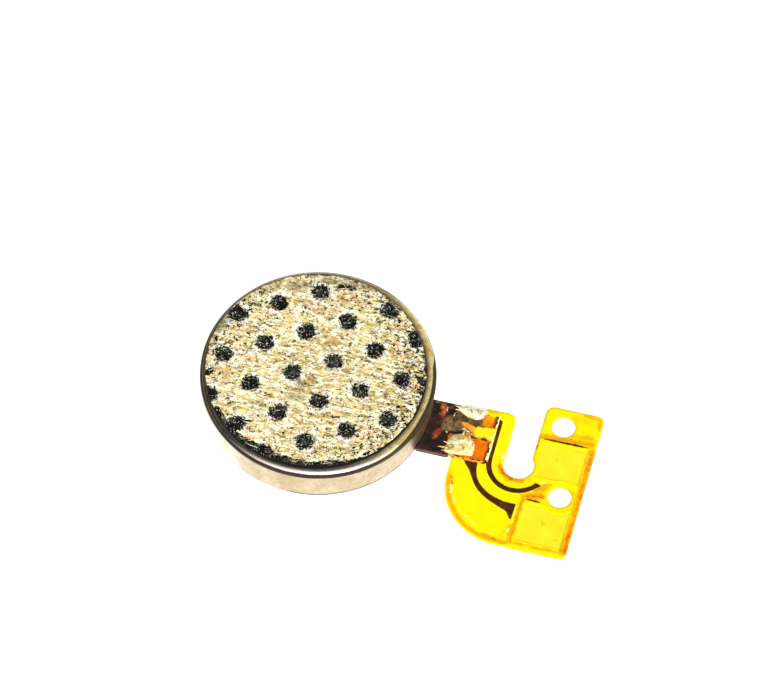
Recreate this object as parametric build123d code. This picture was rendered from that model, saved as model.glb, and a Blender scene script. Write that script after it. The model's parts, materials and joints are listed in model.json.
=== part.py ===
"""Coin vibration motor with a flexible lead: an eccentric-rotor brush motor 10 mm across and 2.1 mm thick.

Millimetres, +Z up along the shaft. The origin is on the shaft's axis, on the flat underside of the lower
case. +X points along the flexible tail, out of the motor. Every sub-part is its own STEP file in parts/.

From the bottom up: lower case (a drawn cup with a tongue), tail flex with its two brushes, detent plate, ring
magnet, rotor on a fixed shaft, upper case (a lid whose short skirt laps over the cup), textured pad. Outside,
the tail flex is soldered onto a J-shaped lead flex whose stiffened leg carries two bare contact pads and two
locating holes.
"""

from build123d import *
from math import cos, radians, sin, sqrt
import os

# ---------------------------------------------------------------- driving dimensions
MOTOR_RADIUS = 5.0          # outside of the lid, which is the widest part of the motor
CASE_HEIGHT = 2.0           # underside of the cup to the top face of the lid
LID_SHEET = 0.12            # steel of the lid
CUP_SHEET = 0.12            # steel of the cup's wall
FLOOR_SHEET = 0.15          # steel of the cup's floor and its tongue
SHOULDER_RADIUS = 0.26      # drawn edge round the top of the lid
LIP_BOTTOM = 1.62           # where the lid's short skirt ends
LIP_ROUND = 0.05            # rolled edge of that skirt
CUP_HEEL_RADIUS = 0.08      # drawn edge round the bottom of the cup
WELD_GAP = 0.01             # the cup slips into the lid with this much room all round
SHAFT_RADIUS = 0.35
RUNNING_GAP = 0.015         # radial clearance of the bearing on the shaft
END_GAP = 0.02              # axial clearance at each thrust washer

# ---------------------------------------------------------------- worked out from them
LID_INSIDE_RADIUS = MOTOR_RADIUS - LID_SHEET
CUP_RADIUS = LID_INSIDE_RADIUS - WELD_GAP
CUP_INSIDE_RADIUS = CUP_RADIUS - CUP_SHEET
CEILING = CASE_HEIGHT - LID_SHEET
CUP_RIM = CEILING - (SHOULDER_RADIUS - LID_SHEET)

# ---------------------------------------------------------------- pad on the top face
ADHESIVE_RADIUS, ADHESIVE_CENTRE = 4.70, (-0.08, -0.05)
CLOTH_RADIUS, CLOTH_CENTRE = 4.66, (-0.12, 0.03)   # stuck on slightly off the motor's axis
PAD_ADHESIVE = 0.03
PAD_CLOTH = 0.07
DIMPLE_RADIUS = 0.40
DIMPLE_DEPTH = 0.03
DIMPLE_EDGE = 0.02          # a dimple is there, if only in part, when this far inside the cloth's edge
DIMPLE_COLUMN = 1.515       # distance between columns of dimples
DIMPLE_ROW = 2.04           # distance between dimples in a column; every other column is half a row along
DIMPLE_START = (0.47, 0.66)  # one dimple's centre, before the lattice's small turn about the shaft
DIMPLE_TURN = -2.9

# ---------------------------------------------------------------- tail flex, from the shaft out over the tongue
TAIL_LOW, TAIL_HIGH = -1.60, 0.90   # its edges in y
TAIL_END = 7.74
TAIL_CORNER = 0.22
TAIL_SLOT_GAP = 0.06        # room round the tail where it passes through the case
TONGUE_END = 6.05
TAIL_HEAD_RADIUS = 1.85     # round head that carries the brushes
TAIL_HEAD_BORE = 0.66       # hole in that head, which drops over the collar
TAIL_FILM = 0.04
TAIL_COPPER = 0.03
TAIL_COVER = 0.06           # coverlay with its adhesive, which fills in round the copper
TAIL_BOTTOM = FLOOR_SHEET
TAIL_COPPER_Z = TAIL_BOTTOM + TAIL_FILM
TAIL_TOP = TAIL_COPPER_Z + TAIL_COVER
NEAR_LAND = (5.58, 7.66, -1.54, -0.48)   # x from, x to, y from, y to
FAR_LAND = (5.80, 7.68, 0.10, 0.76)
LAND_MARGIN = 0.04          # from a land's edge to its coverlay window
VIA_RADIUS = 0.16
VIA_X = 6.75
FAR_RUN_Y = (0.12, 0.72)    # copper that runs along the tail to each land
NEAR_RUN_Y = (-1.36, -0.60)
FAR_LINK_X, FAR_LINK_Y = (1.25, 1.60), (1.00, 1.20)   # copper from the far brush pad to its run
BRUSH_PAD_X, BRUSH_PAD_Y = (0.55, 1.32), (0.80, 1.30)
FAR_POOL_X, FAR_POOL_HEIGHT = (5.92, 7.14), 0.20      # solder on each land
NEAR_POOL_X, NEAR_POOL_HEIGHT = (5.66, 7.10), 0.26
POOL_CORNER = 0.25

# ---------------------------------------------------------------- lead flex (outside)
FLEX_LEFT = 6.20
FLEX_TOP = 1.10
ARM_RIGHT = 8.40            # left side of the slot
SLOT_RADIUS = 0.65          # round bottom of the slot
SLOT_BOTTOM_Y = -1.25       # centre of that round
LEG_LEFT = 9.53             # right side of the slot
LEG_RIGHT = 12.03
LEG_TOP = 1.87
LEG_BOTTOM = -5.23
CURVE_RADIUS = 2.80         # outside of the arm's bend
ARM_CORNER, LEG_INNER_CORNER, LEG_CORNER = 0.35, 0.40, 0.30
HOLE_RADIUS = 0.50
HOLES = ((10.43, 1.01), (11.10, -2.35))
STIFFENER = 0.05
STIFFENER_LEFT = 9.47
FLEX_FILM = 0.03
FLEX_COPPER = 0.03
FLEX_COVER = 0.07
FILM_Z = STIFFENER
COPPER_Z = FILM_Z + FLEX_FILM
FLEX_TOP_Z = COPPER_Z + FLEX_COVER
FOLD_X = 9.20               # the leg folds about a line along y here
FOLD_GAP = 0.06             # each side of the fold line is cut back this much
FLEX_LAND_X = (0.75, 0.06)  # the lead flex's lands end this far inside the tail's lands: motor end, leg end
FLEX_LAND_Y = 0.10          # and this far at the sides
TRACE_CENTRE = (9.03, -1.27)
FAR_TRACE_RADIUS, FAR_TRACE_WIDTH = 1.25, 0.27
FAR_TRACE_START = (0.40, 0.67)   # the short run out of the far land, between these two y
FAR_TRACE_TURN = 318        # the arc ends at this angle about the trace's centre
FAR_LINK_REACH = (0.32, 0.27)    # from the arc's end to where its copper meets the upper contact's side
PAD_ROOT = 0.10             # and how far into that contact it runs
NEAR_TRACE_INNER = ((7.36, -1.35), (7.40, -1.95), (7.56, -2.36), (7.90, -2.72), (8.40, -2.99), (8.90, -3.11))
NEAR_TRACE_OUTER = ((9.05, -3.60), (8.55, -3.39), (7.95, -3.11), (7.48, -2.70), (7.14, -2.18), (6.80, -1.35))
FLARE = ((9.36, -3.12), (9.80, -3.12), (9.80, -4.06), (9.36, -4.00))   # from that trace to the contact
PAD_X = (9.66, 11.78)
UPPER_PAD_Y = (-1.70, 0.18)
LOWER_PAD_Y = (-4.90, -2.88)
PAD_HOLE_CLEARANCE = 0.24   # copper and window both stay this far from the hole's edge
PAD_SLOT_CLEARANCE = 0.08   # and this far from the slot
WINDOW_LAP = 0.06           # the coverlay laps this far over a contact pad's edge

# ---------------------------------------------------------------- inside the motor
COLLAR_RADIUS, COLLAR_TOP = 0.62, 0.80
MAGNET_INNER, MAGNET_OUTER, MAGNET_THICK = 2.05, 4.00, 0.55
DETENT_INNER, DETENT_OUTER, DETENT_ROOM = 2.15, 3.95, 0.10   # room between the plate and the tail strip
WASHER_THICK = 0.06
BUSH_RADIUS = 0.70
ROTOR_RADIUS = 4.52
ROTOR_SPREAD = 105.0        # the fan of the rotor, each side of its heavy axis
HEAVY_AXIS = 180.0          # direction of the heavy side at rest
BOARD_Z, BOARD_THICK = 1.00, 0.10
HUB_BOARD_RADIUS = 1.75
COMMUTATOR_INNER, COMMUTATOR_OUTER, COMMUTATOR_THICK = 0.80, 1.50, 0.025
SEGMENTS, SEGMENT_GAP = 6, 4.0
COIL_THICK = 0.48
COIL_ANGLE = 66.0           # each coil's centre from the heavy axis
WEIGHT_SPREAD, WEIGHT_INNER, WEIGHT_RADIUS = 40.0, 2.35, 4.47
RESIN_HUB_RADIUS = 1.05
LEAD_JOINT_RADIUS, LEAD_JOINT_AT = 0.13, 1.40
MOULDING_TOP = 1.70
LEAD_JOINT_THICK = 0.06
LEAD_JOINT_ANGLES = (-150, -122, 122, 150)   # from the heavy axis
COIL_OUTLINE = ((1.75, 0.62), (4.30, 1.28))  # half of each outline, from the hub to the rim
COIL_WINDOW = ((2.55, 0.18), (3.62, 0.50))
COIL_CORNER, WINDOW_CORNER = 0.42, 0.14
COIL_BAY = 1.50             # half the width of the bay cut in the weight for each coil
DETENT_SCALLOP, DETENT_SCALLOP_OUT = 0.90, 0.20      # radius of each scallop, and its centre beyond the rim
DETENT_SCALLOPS = (90, 180, 270)
BRUSH_SHEET, BRUSH_WIDTH, BRUSH_SLIT = 0.05, 0.40, 0.08
BRUSH_Y = 1.05              # each brush runs along x at this distance from the shaft
BRUSH_FOOT_X = (-1.28, -0.72)
BRUSH_TIP_X = (0.42, 0.62, 0.78)   # start of the flat tip, its end, and the end of the turned-down lip
BRUSH_LIP = 0.12
BRUSH_SLIT_START = -0.40
BRUSH_BEAD_RADIUS, BRUSH_BEAD_LENGTH = 0.08, 0.36


# ---------------------------------------------------------------- helpers
def disc(radius, low, high, at=(0, 0)):
    """A cylinder between two heights."""
    return Pos(at[0], at[1], low) * extrude(Circle(radius), high - low)


def ring(outer, inner, low, high):
    return disc(outer, low, high) - disc(inner, low - 1, high + 1)


def block(x0, x1, y0, y1, z0, z1):
    """A box given by its sides."""
    return Pos((x0 + x1) / 2, (y0 + y1) / 2, (z0 + z1) / 2) * Box(x1 - x0, y1 - y0, z1 - z0)


def plate(face, low, high):
    """A flat outline in the XY plane as a sheet between two heights."""
    return Pos(0, 0, low) * extrude(face, high - low)


def rectangle(x0, x1, y0, y1, corner=0.0):
    """A flat rectangle given by its sides, with round corners if asked for."""
    shape = Rectangle(x1 - x0, y1 - y0) if corner == 0 else RectangleRounded(x1 - x0, y1 - y0, corner)
    return Pos((x0 + x1) / 2, (y0 + y1) / 2) * shape


def arc_band(centre, radius, width, start, end):
    """A flat strip of constant width along an arc, from one angle to another in degrees."""
    outer = CenterArc(centre, radius + width / 2, start, end - start)
    inner = CenterArc(centre, radius - width / 2, start, end - start)
    return make_face([outer, Line(outer @ 1, inner @ 1), inner, Line(inner @ 0, outer @ 0)])


def polar(radius, angle, about=(0, 0)):
    return (about[0] + radius * cos(radians(angle)), about[1] + radius * sin(radians(angle)))


def fan(radius, middle, spread):
    """A flat sector of a circle about the origin, spread degrees each side of its middle."""
    edge = CenterArc((0, 0), radius, middle - spread, 2 * spread)
    return make_face([edge, Line(edge @ 1, (0, 0)), Line((0, 0), edge @ 0)])


# ---------------------------------------------------------------- shells
def upper_case():
    """The lid: a flat face, a drawn shoulder and a short skirt, with a hole that steadies the shaft's end."""
    lid = disc(MOTOR_RADIUS, LIP_BOTTOM, CASE_HEIGHT)
    lid = fillet(lid.edges().group_by(Axis.Z)[-1], SHOULDER_RADIUS)
    lid = fillet(lid.edges().group_by(Axis.Z)[0], LIP_ROUND)
    inside = disc(LID_INSIDE_RADIUS, LIP_BOTTOM - 1, CEILING)
    inside = fillet(inside.edges().group_by(Axis.Z)[-1], SHOULDER_RADIUS - LID_SHEET)
    return lid - inside - disc(SHAFT_RADIUS, 0, CASE_HEIGHT + 1)


def lower_case():
    """The cup: floor, wall notched for the tail, a tongue under the tail, and a collar round the shaft."""
    cup = disc(CUP_RADIUS, 0, CUP_RIM) - disc(CUP_INSIDE_RADIUS, FLOOR_SHEET, CUP_RIM + 1)
    cup = fillet(cup.edges().group_by(Axis.Z)[0], CUP_HEEL_RADIUS)
    notch = block(0, MOTOR_RADIUS + 1, TAIL_LOW - TAIL_SLOT_GAP, TAIL_HIGH + TAIL_SLOT_GAP,
                  FLOOR_SHEET, TAIL_TOP + TAIL_SLOT_GAP)
    tongue = plate(rectangle(0, TONGUE_END, TAIL_LOW, TAIL_HIGH), 0, FLOOR_SHEET)
    collar = disc(COLLAR_RADIUS, 0, COLLAR_TOP)
    return cup - notch + tongue + collar - disc(SHAFT_RADIUS, -1, COLLAR_TOP + 1)


# ---------------------------------------------------------------- pad
def dimple_places():
    """Centres of the dimples, on a lattice of staggered columns, that fall on the cloth."""
    found = []
    for column in range(-5, 5):
        for row in range(-4, 4):
            x = DIMPLE_START[0] + column * DIMPLE_COLUMN
            y = DIMPLE_START[1] + (row + 0.5 * (column % 2)) * DIMPLE_ROW
            turn = radians(DIMPLE_TURN)
            place = (x * cos(turn) - y * sin(turn), x * sin(turn) + y * cos(turn))
            from_centre = sqrt((place[0] - CLOTH_CENTRE[0]) ** 2 + (place[1] - CLOTH_CENTRE[1]) ** 2)
            if from_centre < CLOTH_RADIUS - DIMPLE_EDGE:
                found.append(place)
    return found


def pad_adhesive():
    return disc(ADHESIVE_RADIUS, CASE_HEIGHT, CASE_HEIGHT + PAD_ADHESIVE, ADHESIVE_CENTRE)


def pad_cloth():
    """The textured disc, with its regular pattern of round pressed dimples."""
    bottom = CASE_HEIGHT + PAD_ADHESIVE
    top = bottom + PAD_CLOTH
    cloth = disc(CLOTH_RADIUS, bottom, top, CLOTH_CENTRE)
    for place in dimple_places():
        cloth -= disc(DIMPLE_RADIUS, top - DIMPLE_DEPTH, top + 1, place)
    return cloth


# ---------------------------------------------------------------- tail flex, brushes and joints
def tail_outline():
    """Round head about the shaft, then a straight strip out over the tongue to rounded corners."""
    strip = rectangle(1.0, TAIL_END, TAIL_LOW, TAIL_HIGH, TAIL_CORNER)
    return Circle(TAIL_HEAD_RADIUS) + strip - Circle(TAIL_HEAD_BORE)


def brush_pads():
    """The two bare coppers on the head that the brushes stand on: one is the other turned half round."""
    x0, x1 = BRUSH_PAD_X
    y0, y1 = BRUSH_PAD_Y
    return [rectangle(-x1, -x0, y0, y1), rectangle(x0, x1, -y1, -y0)]


def tail_copper_shapes():
    """Flat outlines of the two circuits, each from a brush pad to a land at the tail's end."""
    far_pad, near_pad = brush_pads()
    middle_of_pad = (BRUSH_PAD_X[0] + BRUSH_PAD_X[1]) / 2
    far = far_pad + rectangle(-middle_of_pad, FAR_LINK_X[1], *FAR_LINK_Y)
    far += rectangle(*FAR_LINK_X, FAR_RUN_Y[0], FAR_LINK_Y[1])
    far += rectangle(FAR_LINK_X[0], FAR_LAND[1], *FAR_RUN_Y) + rectangle(*FAR_LAND)
    near = near_pad + rectangle(middle_of_pad, NEAR_LAND[1], *NEAR_RUN_Y) + rectangle(*NEAR_LAND)
    return far, near


def tail_vias():
    """Plated holes through the tail, one in each land, where the solder runs down to the lead flex."""
    return [(VIA_X, (land[2] + land[3]) / 2) for land in (FAR_LAND, NEAR_LAND)]


def tail_flex_film():
    film = plate(tail_outline(), TAIL_BOTTOM, TAIL_COPPER_Z)
    for via in tail_vias():
        film -= disc(VIA_RADIUS, 0, 1, via)
    return film


def tail_flex_copper():
    copper = [plate(shape, TAIL_COPPER_Z, TAIL_COPPER_Z + TAIL_COPPER) for shape in tail_copper_shapes()]
    return Compound(children=[piece - disc(VIA_RADIUS, 0, 1, via) for piece, via in zip(copper, tail_vias())])


def tail_flex_coverlay():
    """Top film and adhesive in one, open over the brush pads and over the two lands."""
    cover = plate(tail_outline(), TAIL_COPPER_Z, TAIL_TOP)
    for shape in tail_copper_shapes():
        cover -= plate(shape, TAIL_COPPER_Z, TAIL_COPPER_Z + TAIL_COPPER)
    for x0, x1, y0, y1 in (FAR_LAND, NEAR_LAND):
        window = rectangle(x0 + LAND_MARGIN, x1 - LAND_MARGIN, y0 + LAND_MARGIN, y1 - LAND_MARGIN)
        cover -= plate(window, TAIL_COPPER_Z, TAIL_TOP + 1)
    for pad in brush_pads():
        cover -= plate(pad, TAIL_COPPER_Z, TAIL_TOP + 1)
    return cover


def brush():
    """One leaf brush: a flat foot, a slanting arm, a turned-down tip, and a slit that makes two fingers."""
    foot = TAIL_COPPER_Z + TAIL_COPPER
    tip = BOARD_Z - COMMUTATOR_THICK - END_GAP - BRUSH_SHEET
    rise, level, end = BRUSH_TIP_X
    path = Polyline((BRUSH_FOOT_X[0], 0, foot), (BRUSH_FOOT_X[1], 0, foot), (rise, 0, tip), (level, 0, tip),
                    (end, 0, tip - BRUSH_LIP))
    under = [Vector(p.X, 0, p.Z) for p in path.vertices()]
    over = [p + Vector(0, 0, BRUSH_SHEET) for p in under]
    side = make_face(Polyline(*under, *reversed(over), close=True))
    arm = extrude(side, BRUSH_WIDTH / 2, dir=(0, 1, 0), both=True)
    slit = block(BRUSH_SLIT_START, end + 1, -BRUSH_SLIT / 2, BRUSH_SLIT / 2, 0, CASE_HEIGHT)
    return Pos(0, BRUSH_Y, 0) * (arm - slit)


def brush_solder():
    """Small fillets of solder across the feet of the two brushes."""
    foot = TAIL_COPPER_Z + TAIL_COPPER + BRUSH_SHEET
    middle = (BRUSH_FOOT_X[0] + BRUSH_FOOT_X[1]) / 2
    half_round = Cylinder(BRUSH_BEAD_RADIUS, BRUSH_BEAD_LENGTH, arc_size=180)
    bead = Pos(middle, BRUSH_Y, foot) * Rotation(90, 0, 0) * half_round
    return Compound(children=[bead, Rotation(0, 0, 180) * bead])


def solder_joint(land, lead_land, via, pool_x, height):
    """A domed pool of solder on one tail land, joined through the via to the layer under the tail."""
    base = TAIL_COPPER_Z + TAIL_COPPER
    pool_y = (land[2] + LAND_MARGIN, land[3] - LAND_MARGIN)
    pool = plate(rectangle(*pool_x, *pool_y, POOL_CORNER), base, base + height)
    pool = fillet(pool.edges().group_by(Axis.Z)[-1], height * 0.8)
    plug = disc(VIA_RADIUS, TAIL_BOTTOM, base, via)
    return pool + plug + plate(lead_land, COPPER_Z + FLEX_COPPER, TAIL_BOTTOM)


# ---------------------------------------------------------------- lead flex
def flex_outline():
    """The whole J: arm, slot with its round bottom, and leg with the two locating holes."""
    slot_x = ARM_RIGHT + SLOT_RADIUS
    lip = sqrt(SLOT_RADIUS ** 2 - (LEG_LEFT - slot_x) ** 2)
    curve_x, curve_y = FLEX_LEFT + CURVE_RADIUS, LEG_BOTTOM + CURVE_RADIUS
    slot_round = ThreePointArc((ARM_RIGHT, SLOT_BOTTOM_Y), (slot_x, SLOT_BOTTOM_Y - SLOT_RADIUS),
                               (LEG_LEFT, SLOT_BOTTOM_Y + lip))
    edges = [
        Line((FLEX_LEFT, FLEX_TOP), (ARM_RIGHT - ARM_CORNER, FLEX_TOP)),
        CenterArc((ARM_RIGHT - ARM_CORNER, FLEX_TOP - ARM_CORNER), ARM_CORNER, 90, -90),
        Line((ARM_RIGHT, FLEX_TOP - ARM_CORNER), (ARM_RIGHT, SLOT_BOTTOM_Y)),
        slot_round,
        Line((LEG_LEFT, SLOT_BOTTOM_Y + lip), (LEG_LEFT, LEG_TOP - LEG_INNER_CORNER)),
        CenterArc((LEG_LEFT + LEG_INNER_CORNER, LEG_TOP - LEG_INNER_CORNER), LEG_INNER_CORNER, 180, -90),
        Line((LEG_LEFT + LEG_INNER_CORNER, LEG_TOP), (LEG_RIGHT - LEG_CORNER, LEG_TOP)),
        CenterArc((LEG_RIGHT - LEG_CORNER, LEG_TOP - LEG_CORNER), LEG_CORNER, 90, -90),
        Line((LEG_RIGHT, LEG_TOP - LEG_CORNER), (LEG_RIGHT, LEG_BOTTOM + LEG_CORNER)),
        CenterArc((LEG_RIGHT - LEG_CORNER, LEG_BOTTOM + LEG_CORNER), LEG_CORNER, 0, -90),
        Line((LEG_RIGHT - LEG_CORNER, LEG_BOTTOM), (curve_x, LEG_BOTTOM)),
        CenterArc((curve_x, curve_y), CURVE_RADIUS, 270, -90),
        Line((FLEX_LEFT, curve_y), (FLEX_LEFT, FLEX_TOP)),
    ]
    outline = make_face(edges)
    for hole in HOLES:
        outline -= Pos(*hole) * Circle(HOLE_RADIUS)
    return outline


def arm_side(face):
    """What lies on the motor's side of the fold line."""
    return face & rectangle(FLEX_LEFT - 1, FOLD_X - FOLD_GAP, LEG_BOTTOM - 1, LEG_TOP + 1)


def leg_side(face, left=FOLD_X + FOLD_GAP):
    """What lies on the leg's side of the fold line."""
    return face & rectangle(left, LEG_RIGHT + 1, LEG_BOTTOM - 1, LEG_TOP + 1)


def clear_of_edges(face, inset=0.0):
    """Cut copper back from the lower locating hole and from the round bottom of the slot."""
    face -= Pos(*HOLES[1]) * Circle(HOLE_RADIUS + PAD_HOLE_CLEARANCE + inset)
    slot_centre = Pos(ARM_RIGHT + SLOT_RADIUS, SLOT_BOTTOM_Y)
    return face - slot_centre * Circle(SLOT_RADIUS + PAD_SLOT_CLEARANCE + inset)


def contact_pad_shape(y_range, inset=0.0):
    """One bare contact, a rectangle but for its clearances."""
    x0, x1 = PAD_X
    y0, y1 = y_range
    return clear_of_edges(rectangle(x0 + inset, x1 - inset, y0 + inset, y1 - inset), inset)


def flex_lands():
    """The lead flex's two lands, which lie under the tail's."""
    shapes = []
    for x0, x1, y0, y1 in (FAR_LAND, NEAR_LAND):
        shapes.append(rectangle(x0 + FLEX_LAND_X[0], x1 - FLEX_LAND_X[1], y0 + FLEX_LAND_Y, y1 - FLEX_LAND_Y))
    return shapes


def far_circuit():
    """From the far land past the tail's end, down the arm, round the slot and into the upper contact."""
    straight_x = TRACE_CENTRE[0] - FAR_TRACE_RADIUS
    half = FAR_TRACE_WIDTH / 2
    shape = flex_lands()[0]
    land_end = FAR_LAND[1] - FLEX_LAND_X[1]
    shape += rectangle(land_end - half, straight_x + half, *FAR_TRACE_START)
    shape += rectangle(straight_x - half, straight_x + half, TRACE_CENTRE[1], FAR_TRACE_START[1])
    shape += arc_band(TRACE_CENTRE, FAR_TRACE_RADIUS, FAR_TRACE_WIDTH, 180, FAR_TRACE_TURN)
    inner = polar(FAR_TRACE_RADIUS - half, FAR_TRACE_TURN, TRACE_CENTRE)
    outer = polar(FAR_TRACE_RADIUS + half, FAR_TRACE_TURN, TRACE_CENTRE)
    side = (outer[0] + FAR_LINK_REACH[0], outer[1] + FAR_LINK_REACH[1])
    top = UPPER_PAD_Y[0] + PAD_ROOT
    shape += make_face(Polyline(inner, outer, side, (side[0], top), (inner[0], top), close=True))
    return clear_of_edges(shape) + contact_pad_shape(UPPER_PAD_Y)


def near_circuit():
    """From the near land round the outside of the other trace, and into the lower contact by a wide flare."""
    inner, outer = Spline(*NEAR_TRACE_INNER), Spline(*NEAR_TRACE_OUTER)
    trace = make_face([inner, Line(inner @ 1, FLARE[0]), Line(FLARE[0], FLARE[3]), Line(FLARE[3], outer @ 0),
                       outer, Line(outer @ 1, inner @ 0)])
    return flex_lands()[1] + trace + make_face(Polyline(*FLARE, close=True)) + contact_pad_shape(LOWER_PAD_Y)


def flex_film(side):
    return plate(side(flex_outline()), FILM_Z, COPPER_Z)


def flex_traces():
    """Both circuits' copper on the motor's side of the fold."""
    shapes = [arm_side(circuit) for circuit in (far_circuit(), near_circuit())]
    return Compound(children=[plate(shape, COPPER_Z, COPPER_Z + FLEX_COPPER) for shape in shapes])


def contact_pad(circuit):
    """One circuit's copper on the leg, gold plated where the coverlay leaves it bare."""
    return plate(leg_side(circuit), COPPER_Z, COPPER_Z + FLEX_COPPER)


def flex_coverlay(side):
    """Top film and adhesive in one, open over the lands and over the contacts."""
    cover = plate(side(flex_outline()), COPPER_Z, FLEX_TOP_Z)
    for shape in (far_circuit(), near_circuit()):
        cover -= plate(shape, COPPER_Z, COPPER_Z + FLEX_COPPER)
    for shape in flex_lands():
        cover -= plate(shape, COPPER_Z, FLEX_TOP_Z + 1)
    for y_range in (UPPER_PAD_Y, LOWER_PAD_Y):
        cover -= plate(contact_pad_shape(y_range, WINDOW_LAP), COPPER_Z, FLEX_TOP_Z + 1)
    return cover


def stiffener():
    return plate(leg_side(flex_outline(), STIFFENER_LEFT), 0, STIFFENER)


# ---------------------------------------------------------------- magnet, detent plate, shaft and washers
def ring_magnet():
    return ring(MAGNET_OUTER, MAGNET_INNER, TAIL_TOP, TAIL_TOP + MAGNET_THICK)


def detent_plate():
    """A thin steel C beside the tail strip, with three scallops that park the rotor off its dead points."""
    shape = Circle(DETENT_OUTER) - Circle(DETENT_INNER)
    shape -= rectangle(0, MOTOR_RADIUS, TAIL_LOW - DETENT_ROOM, TAIL_HIGH + DETENT_ROOM)
    for angle in DETENT_SCALLOPS:
        shape -= Pos(*polar(DETENT_OUTER + DETENT_SCALLOP_OUT, angle)) * Circle(DETENT_SCALLOP)
    return plate(shape, FLOOR_SHEET, TAIL_TOP)


def shaft():
    return disc(SHAFT_RADIUS, 0, CASE_HEIGHT)


def thrust_washer(bottom):
    return ring(COLLAR_RADIUS, SHAFT_RADIUS + RUNNING_GAP, bottom, bottom + WASHER_THICK)


# ---------------------------------------------------------------- rotor
BUSH_BOTTOM = COLLAR_TOP + WASHER_THICK + END_GAP
UPPER_WASHER_Z = CEILING - WASHER_THICK - WELD_GAP
BUSH_TOP = UPPER_WASHER_Z - END_GAP
COIL_Z = BOARD_Z + BOARD_THICK


def bearing_bush():
    return ring(BUSH_RADIUS, SHAFT_RADIUS + RUNNING_GAP, BUSH_BOTTOM, BUSH_TOP)


def rotor_board():
    """The circuit board that carries commutator, coils and weight: a small disc with the fan of the rotor."""
    shape = Circle(HUB_BOARD_RADIUS) + fan(ROTOR_RADIUS, HEAVY_AXIS, ROTOR_SPREAD)
    return plate(shape - Circle(BUSH_RADIUS), BOARD_Z, COIL_Z)


def commutator_segments():
    middle = (COMMUTATOR_INNER + COMMUTATOR_OUTER) / 2
    width = COMMUTATOR_OUTER - COMMUTATOR_INNER
    step = 360 / SEGMENTS
    low = BOARD_Z - COMMUTATOR_THICK
    return Compound(children=[
        plate(arc_band((0, 0), middle, width, n * step + SEGMENT_GAP / 2, (n + 1) * step - SEGMENT_GAP / 2),
              low, BOARD_Z)
        for n in range(SEGMENTS)])


def coil_shapes(side):
    """Outside and inside outlines of one flat-wound coil: a rounded wedge with a rounded window."""
    turn = Rotation(0, 0, HEAVY_AXIS + side * COIL_ANGLE)
    shapes = []
    for (hub, rim), corner in ((COIL_OUTLINE, COIL_CORNER), (COIL_WINDOW, WINDOW_CORNER)):
        wedge = make_face(Polyline((hub[0], -hub[1]), (rim[0], -rim[1]), rim, hub, close=True))
        shapes.append(turn * fillet(wedge.vertices(), corner))
    return shapes


def coil(side):
    outer, inner = coil_shapes(side)
    return plate(outer - inner, COIL_Z, COIL_Z + COIL_THICK)


def counterweight():
    """The heavy sector between the coils."""
    shape = fan(WEIGHT_RADIUS, HEAVY_AXIS, WEIGHT_SPREAD) - Circle(WEIGHT_INNER)
    for side in (-1, 1):
        turn = Rotation(0, 0, HEAVY_AXIS + side * COIL_ANGLE)
        shape -= turn * rectangle(0, ROTOR_RADIUS + 1, -COIL_BAY, COIL_BAY)
    return plate(shape, COIL_Z, MOULDING_TOP)


def coil_lead_joints():
    """Where the coils' fine wires are soldered down to the open side of the board."""
    spots = [polar(LEAD_JOINT_AT, HEAVY_AXIS + angle) for angle in LEAD_JOINT_ANGLES]
    return Compound(children=[disc(LEAD_JOINT_RADIUS, COIL_Z, COIL_Z + LEAD_JOINT_THICK, at) for at in spots])


def rotor_moulding():
    """Resin that fills the fan round the coils, the weight and the bush."""
    outline = fan(ROTOR_RADIUS, HEAVY_AXIS, ROTOR_SPREAD) + Circle(RESIN_HUB_RADIUS) - Circle(BUSH_RADIUS)
    return plate(outline, COIL_Z, MOULDING_TOP) - coil(-1) - coil(1) - counterweight()


# ---------------------------------------------------------------- every node
def all_nodes():
    far, near = far_circuit(), near_circuit()
    far_via, near_via = tail_vias()
    far_land, near_land = flex_lands()
    one_brush = brush()
    return {
        "upper_case": upper_case(),
        "lower_case": lower_case(),
        "pad_adhesive": pad_adhesive(),
        "pad_cloth": pad_cloth(),
        "shaft": shaft(),
        "lower_thrust_washer": thrust_washer(COLLAR_TOP),
        "upper_thrust_washer": thrust_washer(UPPER_WASHER_Z),
        "ring_magnet": ring_magnet(),
        "detent_plate": detent_plate(),
        "tail_flex_film": tail_flex_film(),
        "tail_flex_copper": tail_flex_copper(),
        "tail_flex_coverlay": tail_flex_coverlay(),
        "brush_far": one_brush,
        "brush_near": Rotation(0, 0, 180) * one_brush,
        "brush_solder": brush_solder(),
        "solder_joint_far": solder_joint(FAR_LAND, far_land, far_via, FAR_POOL_X, FAR_POOL_HEIGHT),
        "solder_joint_near": solder_joint(NEAR_LAND, near_land, near_via, NEAR_POOL_X, NEAR_POOL_HEIGHT),
        "lead_flex_film_arm": flex_film(arm_side),
        "lead_flex_traces": flex_traces(),
        "lead_flex_coverlay_arm": flex_coverlay(arm_side),
        "lead_flex_film_leg": flex_film(leg_side),
        "contact_pad_upper": contact_pad(far),
        "contact_pad_lower": contact_pad(near),
        "lead_flex_coverlay_leg": flex_coverlay(leg_side),
        "leg_stiffener": stiffener(),
        "bearing_bush": bearing_bush(),
        "rotor_board": rotor_board(),
        "commutator_segments": commutator_segments(),
        "coil_left": coil(-1),
        "coil_right": coil(1),
        "counterweight": counterweight(),
        "coil_lead_joints": coil_lead_joints(),
        "rotor_moulding": rotor_moulding(),
    }


def main():
    os.makedirs("parts", exist_ok=True)
    for name, shape in all_nodes().items():
        export_step(shape, f"parts/{name}.step")


main()
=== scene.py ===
# The looks of the coin vibration motor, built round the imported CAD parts.
# Outlines and heights are in millimetres in the row frame; make_piece turns them into metres.

import json
import math
import random

import bpy
import numpy as np
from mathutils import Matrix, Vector, noise
from mathutils.geometry import delaunay_2d_cdt


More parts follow.
